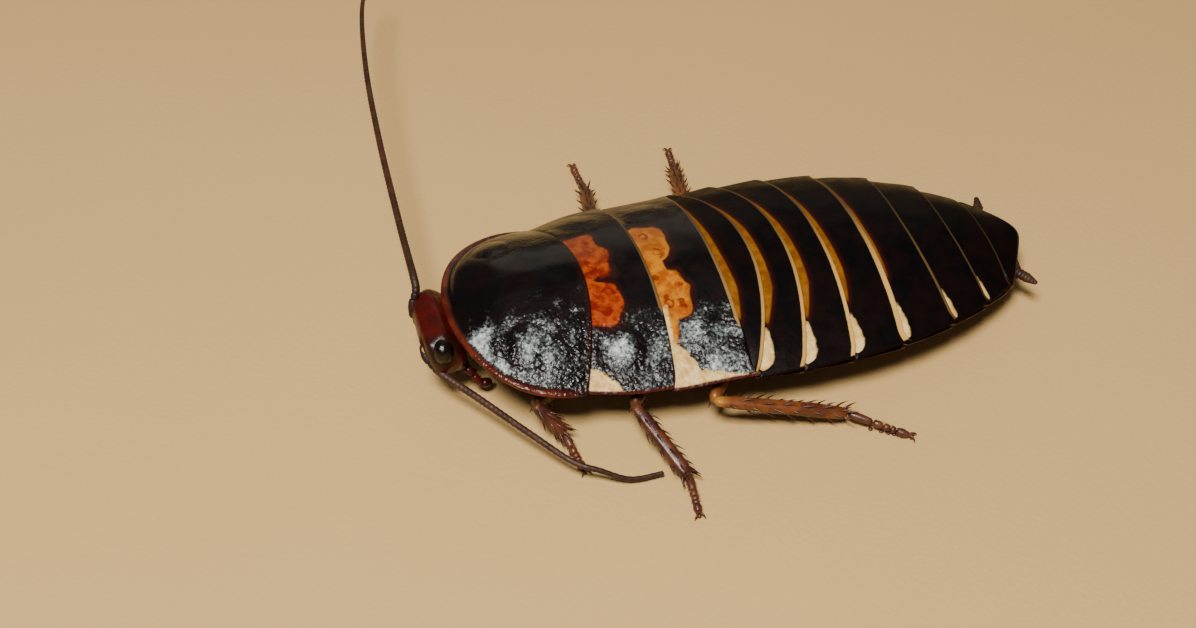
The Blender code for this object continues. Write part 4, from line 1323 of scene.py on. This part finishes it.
def banded_shell(name, groups, gloss, roughness, first_gold, second_gold, rim_colour):
    """The plates behind the pronotum: black with amber and cream markings from their fields,
    painted glints where the glint field is set, and painted shade that darkens the amber, cream and
    lips towards the far side.
    """
    material, recipe, place = new_material(name)
    strength, cover = recipe.field("grain"), recipe.field("glint")
    grain = grained(recipe, groups, place, SHELL_CELL, strength, roughness, cover)
    ground = mottled(recipe, groups, place, 0.5, BLACK, WARM_BLACK)

    def mask(label, size, ragged, soft):
        return recipe.group(groups["ragged"], {
            "Distance": recipe.field(label), "Place": place, "Size": size,
            "Raggedness": ragged, "Softness": soft,
        }).outputs[0]

    # Painted glints: grey specks and white sparks standing in for light sparkling on the leather.
    ground = recipe.mix(grain["Glint specks"], ground, GLINT_GREY)
    ground = recipe.mix(grain["Sparks"], ground, GLINT)
    warmth = recipe.field("warmth")
    gold = mottled(recipe, groups, place, 1.1, first_gold, second_gold)
    red = mottled(recipe, groups, place, 1.3, RED_AMBER, DEEP_RED)
    amber = recipe.mix(warmth, gold, red)
    # Painted shade: the amber is darkened towards the far side.
    far = recipe.times(recipe.step(recipe.field("margin"), 0.12, -0.3), 0.42)
    amber = recipe.mix(far, amber, STRIP_BROWN)
    halo = recipe.step(recipe.field("amber"), -0.5, 0.0)
    colour = recipe.mix(recipe.times(halo, 0.45), ground, MAROON)
    ragged = recipe.field("ragged")
    colour = recipe.mix(mask("amber", 1.1, ragged, 0.08), colour, amber)
    spot = recipe.times(mask("spot", 2.6, 0.3, 0.12), 0.85)
    colour = recipe.mix(spot, colour, DEEP_RED)
    pale = mottled(recipe, groups, place, 1.4, IVORY, CREAM)
    cream_mask = mask("cream", 2.2, recipe.times(ragged, 1.6), 0.09)
    # Painted shade: the cream marks and the lips are darkened to tan towards the far side.
    side = recipe.step(recipe.field("margin"), -0.4, 0.72)
    pale = recipe.mix(side, LIP_TAN, pale)
    colour = recipe.mix(cream_mask, colour, pale)
    lip_mask = mask("lip", 2.2, 0.05, 0.035)
    lip_colour = recipe.mix(recipe.times(side, recipe.field("tone")), LIP_TAN, CREAM)
    lip_colour = recipe.mix(recipe.field("tone"), LIP_DARK, lip_colour)
    colour = recipe.mix(lip_mask, colour, lip_colour)
    rim = recipe.step(recipe.math("ABSOLUTE", recipe.field("margin")), 0.982, 0.992)
    colour = recipe.mix(rim, colour, rim_colour)
    inner = recipe.step(recipe.field("inner"), 0.9, 1.0)
    colour = recipe.mix(inner, colour, MAROON)
    rough = recipe.math("MULTIPLY_ADD", cream_mask, 0.15, grain["Roughness"])
    normal = bump(recipe, grain["Height"], GRAIN_DEPTH)
    return principled(material, gloss, colour, rough, normal)


def shield_finish(groups):
    """The pronotum: black leather with a red-brown rolled rim that lets some light through, and
    painted glints, pale specks standing in for light sparkling on its near side.
    """
    material, recipe, place = new_material("Shield")
    strength = recipe.math("MULTIPLY_ADD", recipe.field("grain"), 0.95, 0.05)
    grain = grained(recipe, groups, place, SHELL_CELL, strength, 0.2, recipe.field("glint"))
    ground = mottled(recipe, groups, place, 0.35, BLACK, WARM_BLACK)
    rim = mottled(recipe, groups, place, 0.8, RIM_BROWN, MAROON)
    noise = recipe.noise(place, 0.9, 3.0)
    from_edge = recipe.minus(recipe.field("edge"), recipe.times(noise, 0.35))
    near_rim = recipe.step(from_edge, 0.32, -0.12)
    forward = recipe.math("MULTIPLY_ADD", recipe.field("forward"), 0.85, 0.15)
    colour = recipe.mix(recipe.times(near_rim, forward), ground, rim)
    # Painted glints: grey specks and white sparks standing in for light sparkling on the leather.
    colour = recipe.mix(grain["Glint specks"], colour, GLINT_GREY)
    colour = recipe.mix(grain["Sparks"], colour, GLINT)
    inner = recipe.step(recipe.field("inner"), 0.55, 0.9)
    colour = recipe.mix(inner, colour, MAROON)
    normal = bump(recipe, grain["Height"], GRAIN_DEPTH)
    return principled(material, 0.25, colour, grain["Roughness"], normal)


# Plain finishes: two mottled colours, size of their blotches, size and strength of the grain,
# roughness, gloss, and for each field that tints them its label, where the tint starts and is
# full, its colour and its share.
CUTICLES = {
    "belly": (
        (0.030, 0.007, 0.005, 1), (0.055, 0.012, 0.007, 1), 0.5, 0.3, 0.4, 0.3, 0.35,
        (("lip", -0.1, 0.1, (0.16, 0.06, 0.025, 1), 0.7),),
    ),
    "soft_skin": (
        (0.045, 0.011, 0.008, 1), (0.085, 0.025, 0.015, 1), 0.9, 0.24, 1.0, 0.5, 0.35, (),
    ),
    "head": (
        (0.060, 0.003, 0.002, 1), (0.032, 0.003, 0.002, 1), 0.6, 0.2, 0.35, 0.32, 0.22,
        (("face", 0.3, 0.8, (0.014, 0.0035, 0.0022, 1), 0.85),
         ("orbit", 0.2, 0.8, (0.006, 0.003, 0.002, 1), 0.85),
         ("seam", 0.3, 0.9, (0.008, 0.003, 0.002, 1), 0.7),
         ("level", 0.1, -0.6, (0.010, 0.004, 0.003, 1), 0.85)),
    ),
    "face_spot": (
        (0.38, 0.24, 0.11, 1), (0.30, 0.17, 0.07, 1), 1.5, 0.15, 0.2, 0.3, 0.35, (),
    ),
    "leg": (
        (0.085, 0.022, 0.009, 1), (0.035, 0.009, 0.005, 1), 0.55, 0.16, 0.5, 0.34, 0.35,
        (("knee", 0.2, 0.9, (0.13, 0.042, 0.012, 1), 0.6),
         ("point", 0.0, 0.4, (0.030, 0.007, 0.004, 1), 0.85)),
    ),
    "hind_leg": (
        (0.14, 0.040, 0.009, 1), (0.065, 0.017, 0.006, 1), 0.55, 0.16, 0.5, 0.34, 0.35,
        (("knee", 0.2, 0.9, (0.33, 0.14, 0.018, 1), 0.85),
         ("point", 0.0, 0.4, (0.030, 0.007, 0.004, 1), 0.9)),
    ),
    "foot": (
        (0.095, 0.026, 0.011, 1), (0.05, 0.014, 0.008, 1), 0.9, 0.14, 0.5, 0.35, 0.35,
        (("point", 0.1, 0.9, (0.05, 0.012, 0.006, 1), 0.8),),
    ),
    "feeler": (
        (0.045, 0.018, 0.010, 1), (0.025, 0.010, 0.006, 1), 0.9, 0.12, 0.5, 0.45, 0.25,
        (("tip", 0.15, 0.0, (0.012, 0.005, 0.004, 1), 0.9),),
    ),
}


def plain_cuticle(name, groups, first, second, size, cell, strength, roughness, gloss, fields):
    """Smooth hard skin in two mottled colours, tinted by fields."""
    material, recipe, place = new_material(name)
    grain = grained(recipe, groups, place, cell, strength, roughness)
    colour = mottled(recipe, groups, place, size, first, second)
    for label, low, high, tint, share in fields:
        mask = recipe.times(recipe.step(recipe.field(label), low, high), share)
        colour = recipe.mix(mask, colour, tint)
    normal = bump(recipe, grain["Height"], cell * 0.18)
    return principled(material, gloss, colour, grain["Roughness"], normal)


def eye_finish():
    """Black eye of tiny hexagonal lenses under a clear gloss."""
    material, recipe, place = new_material("Eye")
    lens = recipe.add("ShaderNodeTexVoronoi", {"Vector": place, "Scale": 14.0, "Randomness": 0.35})
    edge = recipe.step(lens, 0.2, 0.75)
    colour = recipe.mix(edge, (0.006, 0.0035, 0.003, 1), (0.0018, 0.0012, 0.0012, 1))
    rough = recipe.math("MULTIPLY_ADD", edge, 0.12, 0.1)
    normal = bump(recipe, recipe.minus(1.0, lens), 0.012)
    return principled(material, 0.36, colour, rough, normal)


def floor_finish():
    """Pale warm board with a faint even tooth."""
    material, recipe, place = new_material("Pale floor")
    broad = recipe.noise(place, 0.02, 3.0)
    fine = recipe.noise(place, 2.5, 3.0)
    colour = recipe.mix(broad, (0.46, 0.29, 0.105, 1), (0.52, 0.335, 0.125, 1))
    colour = recipe.mix(recipe.times(fine, 0.12), colour, (0.35, 0.21, 0.075, 1))
    rough = recipe.math("MULTIPLY_ADD", fine, 0.1, 0.7)
    return principled(material, 0.5, colour, rough, bump(recipe, fine, 0.04))


# Floor, lights and camera

def make_floor(finish):
    """A wide flat floor at the level that the feet stand on."""
    side = np.linspace(-1.5, 1.5, 9)
    x, y = np.meshgrid(side, side, indexing="ij")
    points = np.stack([x, y, np.zeros_like(x)], axis=-1).reshape(-1, 3)
    index = np.arange(81).reshape(9, 9)
    quads = np.stack([index[:-1, :-1], index[1:, :-1], index[1:, 1:], index[:-1, 1:]], axis=-1)
    mesh = bpy.data.meshes.new("floor")
    mesh.from_pydata(points.tolist(), [], quads.reshape(-1, 4).tolist())
    mesh.materials.append(finish)
    add_object("floor", mesh)


def add_light(name, place, aim, size, power, colour):
    """A square soft light at a place in metres, turned towards another place."""
    data = bpy.data.lights.new(name, "AREA")
    data.shape = "RECTANGLE"
    data.size, data.size_y = size
    data.energy = power
    data.color = colour
    light = add_object(name, data)
    light.location = place
    light.rotation_euler = (Vector(aim) - Vector(place)).to_track_quat("-Z", "Y").to_euler()


VIEW_AZIMUTH = math.radians(74)
VIEW_ELEVATION = math.radians(42)
VIEW_TARGET = Vector((0.0122, -0.00928, 0.00353))
VIEW_DISTANCE = 0.130
SENSOR = 36.0
PIXELS_PER_MM = 14.16
IMAGE_WIDTH = 1196


# Name, place and aim in metres, size in metres, power in watts, and colour.
LIGHTS = (
    ("key", (0.15, -0.09, 0.27), (0.008, -0.01, 0), (0.07, 0.07), 2.1, (1.0, 0.96, 0.90)),
    ("overhead", (-0.08, 0.0, 0.34), (0, 0, 0), (0.24, 0.24), 0.06, (1.0, 0.97, 0.93)),
    ("far_side", (-0.34, 0.10, 0.16), (0, 0, 0), (0.30, 0.16), 0.09, (1.0, 0.88, 0.72)),
    ("near_side", (0.30, -0.10, 0.20), (0, 0, 0), (0.20, 0.20), 0.05, (0.95, 0.97, 1.0)),
)


def make_camera():
    """The camera at the picture's viewing angle. Its lens gives the picture's pixels a millimetre
    at the target.
    """
    sine, cosine = math.sin(VIEW_AZIMUTH), math.cos(VIEW_AZIMUTH)
    level = math.cos(VIEW_ELEVATION)
    back = Vector((sine * level, -cosine * level, math.sin(VIEW_ELEVATION)))
    right = Vector((cosine, sine, 0.0))
    above = back.cross(right)
    data = bpy.data.cameras.new("camera")
    data.sensor_width = SENSOR
    data.lens = SENSOR * PIXELS_PER_MM * VIEW_DISTANCE / MM / IMAGE_WIDTH
    data.clip_start = 0.001
    camera = add_object("camera", data)
    turn = Matrix((right, above, back)).transposed().to_4x4()
    camera.matrix_world = Matrix.Translation(VIEW_TARGET + back * VIEW_DISTANCE) @ turn
    bpy.context.scene.camera = camera


def make_light():
    """A small strong key light from the near side, three weak soft ones and an even pale sky."""
    for name, place, aim, size, power, colour in LIGHTS:
        add_light(name, place, aim, size, power, colour)
    world = bpy.data.worlds.new("sky")
    bpy.context.scene.world = world
    world.use_nodes = True
    sky = world.node_tree.nodes["Background"]
    sky.inputs["Color"].default_value = (0.80, 0.77, 0.72, 1)
    sky.inputs["Strength"].default_value = 0.085


def main():
    groups = {"grain": grain_group(), "ragged": ragged_group(), "mottle": mottle_group()}
    finishes = {
        name: plain_cuticle(name.replace("_", " ").capitalize(), groups, *values)
        for name, values in CUTICLES.items()
    }
    make_shield(shield_finish(groups))
    make_plates(
        banded_shell("Thorax shell", groups, 0.25, 0.26, GOLD_AMBER, BURNT_AMBER, MAROON),
        banded_shell("Abdomen shell", groups, 0.045, 0.34, DARK_GOLD, STRIP_BROWN, WARM_BLACK),
    )
    make_sternites(finishes["belly"])
    make_chest_plates(finishes["belly"])
    make_core(finishes["soft_skin"])
    make_head(finishes["head"])
    make_eyes(eye_finish())
    make_face_spots(finishes["face_spot"])
    make_mouth(finishes["head"])
    make_palps(finishes["head"])
    make_feelers(finishes["feeler"])
    make_tail_feelers(finishes["feeler"])
    chance = np.random.default_rng(SEEDS["legs"])
    for name in LEGS:
        make_leg(name, chance, finishes)
    make_floor(floor_finish())
    make_light()
    make_camera()


main()
